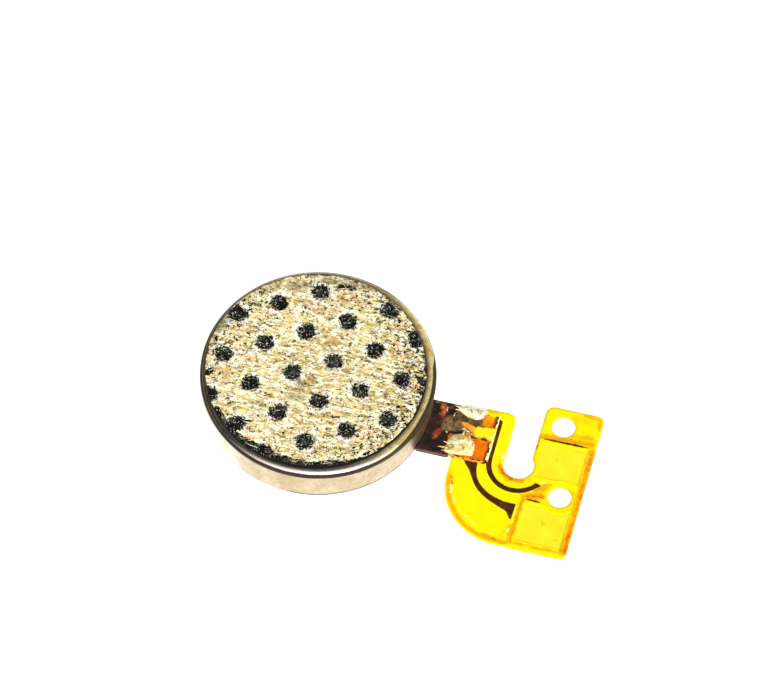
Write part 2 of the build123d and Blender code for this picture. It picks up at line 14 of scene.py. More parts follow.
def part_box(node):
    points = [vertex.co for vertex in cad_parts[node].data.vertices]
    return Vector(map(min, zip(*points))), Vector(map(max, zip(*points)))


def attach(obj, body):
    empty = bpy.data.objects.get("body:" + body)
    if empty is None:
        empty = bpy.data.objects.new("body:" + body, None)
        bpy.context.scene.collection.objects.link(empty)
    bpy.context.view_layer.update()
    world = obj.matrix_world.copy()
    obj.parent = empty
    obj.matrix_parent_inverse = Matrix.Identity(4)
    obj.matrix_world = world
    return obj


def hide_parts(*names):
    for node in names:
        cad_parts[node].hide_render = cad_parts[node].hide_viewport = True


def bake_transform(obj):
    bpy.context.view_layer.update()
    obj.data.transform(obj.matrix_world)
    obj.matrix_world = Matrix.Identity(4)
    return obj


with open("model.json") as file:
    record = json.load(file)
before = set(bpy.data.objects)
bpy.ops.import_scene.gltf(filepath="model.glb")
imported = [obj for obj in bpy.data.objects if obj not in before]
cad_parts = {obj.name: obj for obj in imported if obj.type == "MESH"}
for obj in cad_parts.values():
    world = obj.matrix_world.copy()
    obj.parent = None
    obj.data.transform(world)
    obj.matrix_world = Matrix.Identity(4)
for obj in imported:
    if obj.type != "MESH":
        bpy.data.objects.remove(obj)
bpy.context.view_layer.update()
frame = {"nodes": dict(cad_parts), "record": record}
MM = 0.001


def box_mm(node):
    """The low and high corners of a CAD node's box."""
    low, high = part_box(node)
    return [c / MM for c in low], [c / MM for c in high]


def smooth(value, low, high):
    """0 below low, 1 above high, and a smooth step between them."""
    t = np.clip((value - low) / (high - low), 0.0, 1.0)
    return t * t * (3 - 2 * t)


def noise_at(x, y, z=0.0):
    return noise.noise(Vector((x, y, z)))


def waves(x, y, terms, start=0.0):
    """Noise added up at one place. Each term has an amount, a scale along x, a scale along y and a layer."""
    return sum((amount * noise_at(x * a, y * b, layer) for amount, a, b, layer in terms), start)


# ------------------------------------------------------------------ meshes
SHARP, FLEX_SHARP = 40, 48       # degrees between faces, above which an edge shows


def make_piece(name, points, faces, material=None, attributes=None, sharp=SHARP):
    """A mesh object from points in millimetres, with named numbers kept on its vertices."""
    mesh = bpy.data.meshes.new(name)
    mesh.from_pydata((np.asarray(points, float) * MM).tolist(), [], faces)
    mesh.validate()
    if material:
        mesh.materials.append(material)
    mesh.polygons.foreach_set("use_smooth", [True] * len(mesh.polygons))
    mesh.set_sharp_from_angle(angle=math.radians(sharp))
    for key, values in (attributes or {}).items():
        values = np.asarray(values, np.float32)
        kind, field = ("FLOAT_VECTOR", "vector") if values.ndim == 2 else ("FLOAT", "value")
        mesh.attributes.new(key, kind, "POINT").data.foreach_set(field, values.ravel())
    mesh.update()
    piece = bpy.data.objects.new(name, mesh)
    bpy.context.scene.collection.objects.link(piece)
    return piece


def belongs(piece, body, slot, *nodes):
    """Attaches a piece to the empty of the body it rides on, and hides the CAD nodes that it stands in for. slot is
    not used.
    """
    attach(piece, body)
    if nodes:
        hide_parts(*nodes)


def polar(centre, radius, turn):
    return centre[0] + radius * math.cos(turn), centre[1] + radius * math.sin(turn)


def lathe(profile, segments):
    """Points and faces of a closed outline of (radius, z) turned once round the shaft's axis."""
    points, faces, n = [], [], len(profile)
    for k in range(segments):
        turn = 2 * math.pi * k / segments
        points += [(r * math.cos(turn), r * math.sin(turn), z) for r, z in profile]
    for k in range(segments):
        here, after = k * n, (k + 1) % segments * n
        faces += [(here + i, after + i, after + (i + 1) % n, here + (i + 1) % n) for i in range(n)]
    return points, faces


def round_off(centre, radius, start, end, steps):
    """Points of (radius, z) along a rounded edge, from one angle to another in degrees."""
    angles = np.radians(np.linspace(start, end, steps + 1))
    return [polar(centre, radius, a) for a in angles]


def arc(centre, radius, start, end, step=0.05):
    """Points in the plane along an arc, from one angle to another in degrees."""
    count = max(2, int(abs(math.radians(end - start)) * radius / step))
    return round_off(centre, radius, start, end, count)


def divide(corners, step=0.05):
    """The same closed line with points at most one step apart."""
    found = []
    for (x0, y0), (x1, y1) in zip(corners, corners[1:] + corners[:1]):
        count = max(1, math.ceil(math.hypot(x1 - x0, y1 - y0) / step))
        found += [(x0 + (x1 - x0) * i / count, y0 + (y1 - y0) * i / count) for i in range(count)]
    return found


def rectangle(x0, x1, y0, y1, corner=0.0, step=0.05):
    if corner == 0:
        return divide([(x0, y0), (x1, y0), (x1, y1), (x0, y1)], step)
    line = []
    for x, y, start in ((x1 - corner, y0 + corner, 270), (x1 - corner, y1 - corner, 0),
                        (x0 + corner, y1 - corner, 90), (x0 + corner, y0 + corner, 180)):
        line += arc((x, y), corner, start, start + 90, step)
    return divide(line, step)


def inside(points, loop):
    """For each point, whether it lies in the closed loop."""
    x, y = points[:, 0:1], points[:, 1:2]
    a = np.asarray(loop, float)
    b = np.roll(a, -1, axis=0)
    crosses = (a[:, 1] > y) != (b[:, 1] > y)
    rise = np.where(b[:, 1] == a[:, 1], 1e-12, b[:, 1] - a[:, 1])
    at = a[:, 0] + (y - a[:, 1]) * (b[:, 0] - a[:, 0]) / rise
    return (crosses & (x < at)).sum(axis=1) % 2 == 1


def distance(points, loop, closed=True):
    """Each point's distance from a line, which is closed unless said otherwise."""
    a = np.asarray(loop, float)
    b = np.roll(a, -1, axis=0)
    if not closed:
        a, b = a[:-1], b[:-1]
    along = b - a
    length = np.maximum((along ** 2).sum(axis=1), 1e-12)
    offset = points[:, None, :2] - a[None]
    t = np.clip((offset * along[None]).sum(axis=2) / length, 0, 1)
    return np.sqrt(((offset - t[..., None] * along[None]) ** 2).sum(axis=2)).min(axis=1)


def offset_loop(loop, inward):
    """A counterclockwise loop moved in by a small distance."""
    a = np.asarray(loop, float)
    along = np.roll(a, -1, axis=0) - np.roll(a, 1, axis=0)
    along /= np.maximum(np.linalg.norm(along, axis=1, keepdims=True), 1e-9)
    return [tuple(p) for p in a + inward * np.stack([-along[:, 1], along[:, 0]], axis=1)]


# A film's inner points, in units of its spacing: between rows, how far noise moves each, and clear of every line.
ROW_SPACING, JITTER, CLEAR = 0.87, 0.15, 0.45


def film(outline, holes, lines, spacing, seed, top, bottom):
    """A closed thin sheet. Its plan is the outline less the holes, cut along the given lines as well.
    top and bottom give the height of each point, from its place and its distance from the sheet's edge."""
    draw = random.Random(seed)
    loops = [outline, *holes, *lines]
    low, high = np.min(outline, axis=0), np.max(outline, axis=0)
    grid = []
    for row in range(int((high[1] - low[1]) / (spacing * ROW_SPACING)) + 2):
        for column in range(int((high[0] - low[0]) / spacing) + 2):
            grid.append((low[0] + (column + 0.5 * (row % 2) + draw.uniform(-JITTER, JITTER)) * spacing,
                         low[1] + (row * ROW_SPACING + draw.uniform(-JITTER, JITTER)) * spacing))
    grid = np.array(grid)
    grid = grid[inside(grid, outline)]
    for loop in loops:
        grid = grid[distance(grid, loop) > spacing * CLEAR]
    points, edges = [], []
    for loop in loops:
        first = len(points)
        points += [Vector(p) for p in loop]
        edges += [(first + i, first + (i + 1) % len(loop)) for i in range(len(loop))]
    points += [Vector(p) for p in grid]
    plan, _, triangles, _, _, _ = delaunay_2d_cdt(points, edges, [], 0, 1e-6)
    plan, triangles = np.array([tuple(p) for p in plan]), np.array(triangles)
    middle = plan[triangles].mean(axis=1)
    keep = inside(middle, outline)
    for hole in holes:
        keep &= ~inside(middle, hole)
    triangles = triangles[keep]
    used = np.unique(triangles)
    renumber = np.full(len(plan), -1)
    renumber[used] = np.arange(len(used))
    plan, triangles = plan[used], renumber[triangles]
    ab, bc, ca = (plan[triangles[:, i]] for i in range(3))
    cross = (bc - ab)[:, 0] * (ca - ab)[:, 1] - (bc - ab)[:, 1] * (ca - ab)[:, 0]
    triangles[cross < 0] = triangles[cross < 0][:, ::-1]
    triangles = triangles.tolist()
    sides = {}
    for t in triangles:
        for a, b in zip(t, t[1:] + t[:1]):
            if (b, a) in sides:
                del sides[(b, a)]
            else:
                sides[(a, b)] = True
    edge = np.min([distance(plan, loop) for loop in [outline, *holes]], axis=0)
    edge[np.unique(list(sides))] = 0.0
    count = len(plan)
    points = np.concatenate([np.column_stack([plan, face(plan, edge)]) for face in (top, bottom)])
    faces = [tuple(t) for t in triangles]
    faces += [(c + count, b + count, a + count) for a, b, c in triangles]
    faces += [(a + count, b + count, b, a) for a, b in sides]
    return points, faces, np.concatenate([edge, edge])


def level(height):
    """A film's flat face."""
    return lambda plan, edge: np.full(len(plan), height)


def eased(height, drop, start, end):
    """A film's face that drops towards its edge, between two distances from it."""
    return lambda plan, edge: height - drop * (1 - smooth(edge, start, end))


def capsules(points, marks, core=0.35, reach=1.25, bend=0.0):
    """The strongest of several soft marks at each point. A mark is a line from one place to another, with a
    radius and a strength; it fades from core to reach times its radius. bend is how far noise moves its parts."""
    found = np.zeros(len(points))
    if bend:
        points = np.array([(x + bend * waves(x, y, ((1, 4, 4, 1), (0.6, 9, 9, 2))),
                            y + bend * waves(x, y, ((1, 4, 4, 5), (0.6, 9, 9, 6)))) for x, y in points[:, :2]])
    for x0, y0, x1, y1, radius, strength in marks:
        d = distance(points, [(x0, y0), (x1, y1)], closed=False)
        found = np.maximum(found, strength * (1 - smooth(d, radius * core, radius * reach)))
    return found


# ------------------------------------------------------------------ procedural materials
class Nodes:
    """The nodes of one tree, made by what they work out."""

    def __init__(self, tree):
        self.tree = tree

    def node(self, kind, inputs=None, **settings):
        made = self.tree.nodes.new("ShaderNode" + kind)
        for key, value in settings.items():
            setattr(made, key, value)
        for key, value in (inputs or {}).items():
            if isinstance(value, bpy.types.NodeSocket):
                self.tree.links.new(value, made.inputs[key])
            else:
                made.inputs[key].default_value = value
        return made

    def calc(self, operation, a, b=0.0, c=0.0, clamp=False):
        return self.node("Math", {0: a, 1: b, 2: c}, operation=operation, use_clamp=clamp).outputs[0]

    def times(self, a, b):
        return self.calc("MULTIPLY", a, b)

    def plus(self, a, b, clamp=False):
        return self.calc("ADD", a, b, clamp=clamp)

    def line(self, value, slope, start):
        """The value times the slope, plus the start."""
        return self.calc("MULTIPLY_ADD", value, slope, start)

    def step(self, value, low, high, start=0.0, end=1.0):
        """start below low and end above high, or the other way round where low is the larger."""
        return self.node("MapRange", {0: value, 1: low, 2: high, 3: start, 4: end},
                         interpolation_type="SMOOTHSTEP").outputs[0]


class Paint(Nodes):
    """One procedural material: a Principled shader and the nodes that feed it."""

    def __init__(self, name, **sockets):
        self.material = bpy.data.materials.new(name)
        self.material.use_nodes = True
        super().__init__(self.material.node_tree)
        self.shader = self.tree.nodes["Principled BSDF"]
        for key, value in sockets.items():
            self.shader.inputs[key.replace("_", " ")].default_value = value
        self.place = self.node("VectorMath", {0: self.node("TexCoord").outputs["Object"], 3: 1 / MM},
                               operation="SCALE").outputs[0]

    def rest(self):
        """Takes places from the mesh's own rest positions, kept on its vertices."""
        self.place = self.node("Attribute", attribute_name="rest").outputs["Vector"]
        return self

    def number(self, name):
        return self.node("Attribute", attribute_name=name).outputs["Fac"]

    def stretched(self, x, y, z=1.0):
        """Places scaled on each axis, for grain that is longer one way than the other."""
        return self.node("Mapping", {"Vector": self.place, "Scale": (x, y, z)}).outputs[0]

    def ragged(self, name, wander, amount, low, high):
        """Where a mark of the mesh is, with an edge that noise breaks up."""
        return self.step(self.times(self.number(name), self.line(wander, amount, 1.0)), low, high)

    def grain(self, scale, detail=3.0, rough=0.5, twist=0.0, place=None):
        return self.node("TexNoise", {"Vector": place or self.place, "Scale": scale, "Detail": detail,
                                      "Roughness": rough, "Distortion": twist}).outputs[0]

    def swing(self, *grain):
        """Grain less a half, so that it goes both ways."""
        return self.calc("SUBTRACT", self.grain(*grain), 0.5)

    def mix(self, factor, a, b):
        made = self.node("Mix", data_type="RGBA")
        for index, value in ((0, factor), (6, a), (7, b)):
            if isinstance(value, bpy.types.NodeSocket):
                self.tree.links.new(value, made.inputs[index])
            else:
                made.inputs[index].default_value = (*value, 1.0)
        return made.outputs[2]

    def over(self, under, colour, value, low, high, share=1.0):
        """A colour laid over another as a value goes from low to high, at most to the given share."""
        part = self.step(value, low, high)
        return self.mix(part if share == 1.0 else self.times(part, share), under, colour)

    def set(self, socket, value):
        self.tree.links.new(value, self.shader.inputs[socket])

    def finish(self, colour, rough, height, depth):
        """Joins up the shader. rough is a value and the roughness at its 0 and 1; depth is in millimetres."""
        self.set("Base Color", colour)
        if rough:
            value, low, high = rough
            self.set("Roughness", self.node("MapRange", {0: value, 3: low, 4: high}).outputs[0])
        self.set("Normal", self.node("Bump", {"Height": height, "Distance": depth * MM}).outputs[0])
        return self.material


def lid_paint():
    """Bright drawn steel with a warm cast, and painted shade: a brown band on its lower edge and shoulder stands for
    the shadow under the lip and the dark reflection there.
    """
    p = Paint("lid_steel", Specular_IOR_Level=0.15)
    along, across, height = p.node("SeparateXYZ", {0: p.place}).outputs
    lines = p.grain(1.0, 4, 0.6, place=p.stretched(1.2, 1.2, 70))
    cloud = p.grain(0.7, 3, 0.55)
    steel = p.over((0.74, 0.60, 0.27), (0.88, 0.78, 0.46), cloud, 0.35, 0.68)
    steel = p.over(steel, (0.36, 0.28, 0.14), lines, 0.5, 0.75, 0.5)
    blotch = p.times(p.step(p.grain(3.2, 5, 0.8, 0.6), 0.44, 0.60), p.step(along, -1.5, 3.0))
    steel = p.mix(p.times(blotch, 0.85), steel, (0.60, 0.42, 0.11))
    # Painted shade: the band lies below about 1.88 mm. It reaches higher at the sides and back, most of all on the
    # right, but less high at the back right.
    wobble = p.line(p.swing(1.6, 4, 0.7), 0.04, height)
    right = p.step(along, 2.2, 4.4)
    less_shade = p.times(p.step(along, 2.0, 3.2), p.step(across, 1.3, 2.3))
    shade_reach = p.times(p.step(across, -3.6, -1.2), p.calc("SUBTRACT", 1.0, less_shade))
    shade_reach = p.times(shade_reach, p.line(right, -0.030, -0.035))
    wobble = p.plus(shade_reach, p.line(less_shade, 0.03, wobble))
    # Painted highlight tone: the front of the rim, where the highlight falls, is greyer, so that its highlight comes
    # out narrow and pinkish white.
    steel = p.over(steel, (0.38, 0.335, 0.325), across, -2.6, -4.0, 0.9)
    shade_band = p.step(wobble, 1.895, 1.865)
    # The painted shade band's colour: dark brown, and olive towards the right, where the shoulder reflects an olive
    # tone.
    shade_brown = p.over((0.012, 0.006, 0.004), (0.036, 0.014, 0.008), p.grain(5.0, 5, 0.7), 0.3, 0.7)
    shade_brown = p.mix(right, shade_brown, (0.026, 0.021, 0.006))
    p.set("Metallic", p.line(shade_band, -0.95, 1.0))
    tone = p.mix(shade_band, steel, shade_brown)
    return p.finish(tone, (p.grain(5, 5, 0.7), 0.14, 0.32), p.plus(lines, p.grain(16, 4, 0.6)), 0.0016)


def cup_paint():
    """Satin nickel finish, cream with small rubbed marks; painted pale at the front left as a washed-out highlight,
    with painted shade under the lid's lip and along the heel.
    """
    p = Paint("cup_steel", Metallic=1.0)
    lines = p.grain(1.0, 3, 0.6, place=p.stretched(14, 14, 0.8))
    along, across, height = p.node("SeparateXYZ", {0: p.place}).outputs
    cloud = p.grain(1.1, 4, 0.6, 0.4)
    steel = p.over((0.48, 0.39, 0.23), (0.64, 0.54, 0.39), cloud, 0.32, 0.68)
    rubbed = p.step(p.grain(5.0, 6, 0.8, 0.5), 0.48, 0.68)
    steel = p.mix(p.times(rubbed, 0.70), steel, (0.30, 0.22, 0.12))
    # Painted highlight: the wall's front left is painted pale, as it shows washed out by light.
    tone_patch = p.step(p.line(p.calc("SUBTRACT", cloud, 0.5), 5.0, along), -1.6, -3.8)
    tone_patch = p.times(tone_patch, p.step(across, 0.2, -1.4))
    steel = p.mix(p.times(tone_patch, 0.8), steel, (0.86, 0.81, 0.74))
    # Painted shade: dark under the lid's lip, and along the heel on the right half.
    wobble = p.line(p.swing(2.4, 3, 0.6), 0.06, height)
    heel_shade = p.times(p.step(wobble, 0.15, 0.11), p.step(along, -1.0, 0.6))
    shade = p.plus(p.step(wobble, 1.46, 1.53), heel_shade, clamp=True)
    tone = p.mix(shade, steel, (0.045, 0.028, 0.016))
    return p.finish(tone, (p.grain(3, 5, 0.7), 0.26, 0.46), p.plus(lines, p.grain(22, 4, 0.6)), 0.0022)


def adhesive_paint():
    """Black foam adhesive, matt, with lint and a few grey rubbed spots."""
    p = Paint("black_adhesive", Specular_IOR_Level=0.1)
    lint = p.step(p.grain(13, 5, 0.75), 0.60, 0.72)
    base = p.mix(p.grain(3), (0.002, 0.002, 0.002), (0.014, 0.015, 0.012))
    tone = p.mix(p.times(lint, 0.35), base, (0.10, 0.11, 0.08))
    return p.finish(tone, (p.grain(8), 0.5, 0.9), p.grain(20, 5, 0.7), 0.006)


def streaks(p):
    """The cloth's tones: cream and white blobs over tan, in short wavy streaks along X, with dark flecks between."""
    along = p.grain(1.0, 4, 0.66, 0.9, p.stretched(1.8, 5.0))
    fine = p.grain(1.0, 4, 0.68, 0.8, p.stretched(3.5, 7.6))
    blobs = p.grain(1.0, 5, 0.72, 0.6, p.stretched(2.3, 4.8))
    blush = p.grain(1.1, 3, 0.6)
    tone = p.over((0.44, 0.29, 0.09), (0.82, 0.72, 0.31), along, 0.38, 0.56)
    tone = p.over(tone, (0.80, 0.50, 0.26), blush, 0.50, 0.62, 0.55)
    tone = p.over(tone, (1.0, 1.0, 0.81), blobs, 0.485, 0.575, 0.95)
    tone = p.over(tone, (0.96, 0.94, 0.74), fine, 0.56, 0.66, 0.55)
    return p.over(tone, (0.055, 0.036, 0.014), fine, 0.43, 0.38, 0.92)


def cloth_paint():
    """Metal-coated nonwoven cloth: cream and gold streaks, black pressed dimples with painted glints in them, grit,
    and black patches, with an edge that darkens most towards the front.
    """
    p = Paint("pad_cloth", Metallic=0.05, Specular_IOR_Level=0.12)
    fleck = p.grain(6.6, 4, 0.78)
    grit = p.line(p.number("grit"), 0.075, fleck)
    halo = p.times(p.step(p.number("dimple"), 1.75, 1.15), p.step(p.grain(2.6, 4, 0.7), 0.44, 0.58))
    tone = p.mix(p.times(halo, 0.9), streaks(p), (1.0, 1.0, 0.90))
    tone = p.over(tone, (0.008, 0.006, 0.003), grit, 0.574, 0.594)
    jagged = p.plus(p.swing(4.2, 5, 0.8, 0.5), p.swing(11, 3, 0.7))
    hole = p.step(p.line(jagged, 1.30, p.number("dimple")), 1.05, 0.97)
    # Black patches, and an edge that darkens most towards the front.
    tone_patch = p.line(p.swing(3.6, 5, 0.75), 1.5, p.number("tone_patch"))
    pit = p.over((0.002, 0.002, 0.002), (0.040, 0.048, 0.030), p.grain(3.2, 4), 0.50, 0.70)
    # Painted glints: pale flecks in the dimples.
    pit = p.over(pit, (0.85, 0.87, 0.78), p.grain(14, 3, 0.7), 0.625, 0.66)
    tone = p.mix(p.ragged("smudge", p.swing(4, 4, 0.7), 2.0, 0.10, 1.30), tone, (0.17, 0.165, 0.085))
    tone = p.over(tone, pit, tone_patch, 0.48, 0.56)
    tone = p.mix(hole, tone, pit)
    return p.finish(tone, (fleck, 0.42, 0.75), p.plus(p.grain(14, 5, 0.75), p.grain(28, 4, 0.7)), 0.012)


def fibre_paint():
    """The cloth's own fibres: the cloth's tones, each fibre a little lighter or darker than its neighbour."""
    p = Paint("cloth_fibre", Metallic=0.1)
    tone = p.over(streaks(p), (1.0, 0.98, 0.82), p.number("tone"), 0.6, 1.0, 0.45)
    tone = p.over(tone, (0.30, 0.20, 0.06), p.number("tone"), 0.25, 0.0, 0.7)
    return p.finish(tone, (p.grain(12), 0.25, 0.55), p.grain(40, 3), 0.002)


# Yellow for the coverlay; then amber and a deeper red for the painted shade along its edges.
YELLOW, AMBER, SHADE_RED = (0.87, 0.725, 0.001), (0.74, 0.335, 0.003), (0.54, 0.13, 0.002)


def flex_paint():
    """Yellow polyimide coverlay: amber on its underside, painted shade in amber and red along its edges and round its
    holes and windows, painted glints, and darker at scratches and marks.
    """
    p = Paint("lead_coverlay", Roughness=0.3, Specular_IOR_Level=0.18).rest()
    drift = p.grain(1.4, 4, 0.6, 0.5)
    tone = p.over(YELLOW, (0.88, 0.63, 0.0), drift, 0.42, 0.66, 0.40)
    wander = p.swing(3.6, 5, 0.78, 0.6)
    # Painted shade: amber, and red where it is strongest, along the edges and round the holes and windows.
    amber = p.times(p.number("amber"), p.line(wander, 1.5, 1.0))
    amber = p.line(wander, 0.35, amber)
    tone = p.over(tone, AMBER, amber, 0.03, 0.80)
    tone = p.over(tone, SHADE_RED, amber, 0.85, 1.20)
    # Painted glints in pale yellow.
    tone = p.mix(p.ragged("pale_glint", wander, 2.0, 0.15, 0.85), tone, (1.0, 0.98, 0.74))
    speck = p.times(p.step(p.grain(13, 3, 0.7), 0.70, 0.76), 0.55)
    marks = p.plus(p.number("dark"), speck, clamp=True)
    tone = p.mix(marks, tone, (0.16, 0.035, 0.006))
    return p.finish(tone, (p.grain(2.2, 5, 0.7), 0.22, 0.48), p.plus(p.grain(2.2, 3), p.grain(18, 4, 0.6)), 0.004)


def trace_paint():
    """Copper under its coverlay, which the yellow film turns dark brown."""
    p = Paint("trace_copper", Specular_IOR_Level=0.35).rest()
    tone = p.over((0.034, 0.009, 0.003), (0.088, 0.024, 0.007), p.grain(2.6, 5, 0.65), 0.36, 0.66)
    edge = p.line(p.swing(5, 4, 0.7), 0.06, p.number("edge"))
    tone = p.over(tone, (0.42, 0.15, 0.004), edge, 0.045, 0.012)
    return p.finish(tone, (p.grain(6), 0.25, 0.5), p.grain(16, 4, 0.7), 0.004)


def contact_paint():
    """Bright gold flash on a contact, with a grey touch mark and fine rubbed lines."""
    p = Paint("gold_contact", Metallic=0.15, Specular_IOR_Level=0.25)
    tone = p.over((0.85, 0.735, 0.012), (0.87, 0.79, 0.020), p.grain(1.8, 4, 0.65), 0.36, 0.66)
    edge = p.line(p.swing(4, 4, 0.7), 0.08, p.number("edge"))
    tone = p.over(tone, (1.0, 0.66, 0.01), edge, 0.05, 0.0)
    speck = p.times(p.step(p.grain(11, 4, 0.75), 0.66, 0.74), 0.35)
    tone = p.mix(p.plus(p.number("dark"), speck, clamp=True), tone, (0.46, 0.36, 0.03))
    lines = p.grain(1.0, 4, 0.6, place=p.stretched(3, 40))
    return p.finish(tone, (lines, 0.4, 0.6), p.plus(lines, p.grain(9, 4)), 0.003)


def tail_paint():
    """The tail's cover: near black over its copper, yellow between the lands, flux stains and rust-red marks, with a
    painted shadow under the far solder pool and painted glints along its edges.
    """
    p = Paint("tail_coverlay", Specular_IOR_Level=0.4, Coat_Weight=0.25)
    wander = p.swing(6.0, 5, 0.8, 0.8)
    tone = p.over((0.004, 0.003, 0.002), (0.060, 0.012, 0.010), p.grain(2.4, 5, 0.75, 0.8), 0.44, 0.68)
    blotch = p.step(p.grain(4.2, 5, 0.82, 0.7), 0.38, 0.64)
    for name, amount, low, high, colour, other in (
            # the olive marks hold a painted shadow along the far solder pool's lower edge, as well as stains
            ("olive", 2.4, 0.05, 0.95, (0.055, 0.030, 0.012), (0.30, 0.19, 0.085)),
            ("amber", 2.6, 0.12, 0.95, (0.72, 0.20, 0.008), (0.94, 0.46, 0.035)),
            ("yellow", 1.3, 0.10, 0.70, (0.86, 0.72, 0.002), (0.92, 0.66, 0.01)),
            ("red", 4.0, 0.20, 1.30, (0.13, 0.018, 0.008), (0.62, 0.13, 0.025)),
            # painted glints along the tail's edges, and a few pale spots
            ("pale_glint", 2.6, 0.10, 0.90, (0.95, 0.80, 0.50), (0.98, 0.95, 0.80))):
        tone = p.mix(p.ragged(name, wander, amount, low, high), tone, p.mix(blotch, colour, other))
    return p.finish(tone, (p.grain(4, 5, 0.7), 0.16, 0.5), p.plus(p.grain(5, 5, 0.7), p.grain(20, 3)), 0.008)


def land_paint():
    """Bare copper of the lands, orange under flux, dark red where it has oxidised."""
    p = Paint("copper_land", Metallic=0.25, Specular_IOR_Level=0.2)
    tone = p.over((0.80, 0.13, 0.0), (0.95, 0.24, 0.004), p.grain(3.0, 4, 0.65), 0.38, 0.66)
    along, across, _ = p.node("SeparateXYZ", {0: p.place}).outputs
    wander = p.swing(5, 4, 0.7)
    tone = p.over(tone, (1.0, 0.46, 0.004), p.plus(across, wander), 0.20, 0.65, 0.8)
    end = p.line(wander, 0.30, along)
    tone = p.over(tone, (0.24, 0.012, 0.002), end, 7.48, 7.60, 0.85)
    far = p.step(across, -0.30, 0.0)
    start = p.line(far, -1.20, end)
    flux = p.over((0.045, 0.027, 0.010), (0.20, 0.135, 0.050), p.grain(4.2, 5, 0.82, 0.7), 0.38, 0.64)
    tone = p.over(tone, p.mix(far, (0.035, 0.018, 0.008), flux), start, 5.97, 5.80)
    return p.finish(tone, (p.grain(9), 0.3, 0.55), p.grain(14, 5, 0.7), 0.006)


def solder_paint():
    """Reflowed solder, smooth and bright, with yellow flux, dark film in patches, and a painted highlight that turns
    the far pool near white.
    """
    p = Paint("solder", Metallic=0.30)
    flux = p.step(p.grain(2.6, 4, 0.65, 0.5), 0.42, 0.60)
    tone = p.mix(flux, (0.90, 0.84, 0.50), (0.70, 0.56, 0.16))
    # Painted highlight: the far pool, further along y, is painted near white.
    place = p.node("SeparateXYZ", {0: p.place}).outputs[1]
    far_pool_glare = p.step(p.line(p.swing(4, 4, 0.7), 0.7, place), 0.36, 0.60)
    tone = p.mix(far_pool_glare, tone, (1.0, 1.0, 0.66))
    tone = p.over(tone, (0.19, 0.155, 0.06), p.grain(3.3, 4, 0.7, 0.9), 0.50, 0.64, 0.85)
    return p.finish(tone, (p.grain(6, 4), 0.22, 0.5), p.grain(7, 4, 0.6, 0.4), 0.010)


def window_shadow_paint():
    """Painted shadow: a dark bead along a window's top edge, where the cover's edge casts its shadow."""
    p = Paint("window_edge_shadow", Roughness=0.5, Specular_IOR_Level=0.2)
    tone = p.over((0.045, 0.008, 0.004), (0.26, 0.060, 0.006), p.grain(5, 4, 0.7), 0.4, 0.65)
    return p.finish(tone, None, p.grain(20, 3), 0.004)


def plain_paint(slot, colour, metallic, roughness, fine, other):
    """A procedural finish for a part inside the motor: two tones in grain of its own size, worn a little."""
    p = Paint(slot, Metallic=metallic)
    grain, wear = p.grain(fine, 5, 0.65), p.grain(fine * 0.25, 4, 0.6, 0.4)
    tone = p.over(colour, other, grain, 0.36, 0.64)
    tone = p.over(tone, tuple(c * 0.45 for c in colour), wear, 0.56, 0.70, 0.35)
    return p.finish(tone, (grain, roughness * 0.8, min(1, roughness * 1.25)), grain, 0.004)


def winding_paint():
    """Enamelled copper wire, wound flat: fine turns show as rings."""
    p = Paint("coil_wire", Metallic=0.7, Roughness=0.35)
    turns = p.node("TexWave", {"Vector": p.place, "Scale": 5.2, "Distortion": 1.5, "Detail": 2.0},
                   wave_type="RINGS", rings_direction="Z").outputs[1]
    tone = p.mix(turns, (0.30, 0.085, 0.025), (0.74, 0.30, 0.11))
    tone = p.mix(p.times(p.grain(3), 0.3), tone, (0.12, 0.04, 0.02))
    return p.finish(tone, None, turns, 0.02)


PLAIN = {   # slot: colour, metallic, roughness, grain per mm, second colour
    "shaft_steel": ((0.62, 0.62, 0.62), 1.0, 0.22, 9.0, (0.74, 0.74, 0.74)),
    "washer_film": ((0.72, 0.66, 0.44), 0.0, 0.35, 6.0, (0.80, 0.75, 0.56)),
    "magnet": ((0.16, 0.16, 0.17), 0.8, 0.45, 7.0, (0.26, 0.26, 0.27)),
    "detent_steel": ((0.42, 0.42, 0.43), 1.0, 0.35, 5.0, (0.55, 0.55, 0.56)),
    "polyimide_film": ((0.80, 0.30, 0.01), 0.0, 0.30, 4.0, (0.92, 0.45, 0.02)),
    "brush_alloy": ((0.72, 0.56, 0.26), 1.0, 0.28, 8.0, (0.84, 0.70, 0.40)),
    "stiffener_film": ((0.76, 0.25, 0.005), 0.0, 0.38, 5.0, (0.84, 0.31, 0.008)),
    "bush_bronze": ((0.42, 0.27, 0.11), 0.9, 0.50, 11.0, (0.56, 0.40, 0.20)),
    "rotor_board": ((0.02, 0.09, 0.03), 0.0, 0.45, 8.0, (0.05, 0.16, 0.06)),
    "heavy_alloy": ((0.20, 0.20, 0.21), 0.9, 0.50, 9.0, (0.32, 0.32, 0.33)),
    "rotor_resin": ((0.012, 0.012, 0.013), 0.0, 0.55, 7.0, (0.035, 0.035, 0.037)),
}
paints = {slot: plain_paint(slot, *values) for slot, values in PLAIN.items()}
paints.update({"lid_steel": lid_paint(), "cup_steel": cup_paint(), "black_adhesive": adhesive_paint(),
               "pad_cloth": cloth_paint(), "lead_coverlay": flex_paint(), "trace_copper": trace_paint(),
               "gold_contact": contact_paint(), "tail_coverlay": tail_paint(), "copper_land": land_paint(),
               "solder": solder_paint(), "coil_wire": winding_paint()})
fibre_material, window_shadow_material = fibre_paint(), window_shadow_paint()
for part in frame["record"]["subparts"]:
    node = frame["nodes"][part["node"]]
    node.data.materials.clear()
    node.data.materials.append(paints[part["material_slot"]])


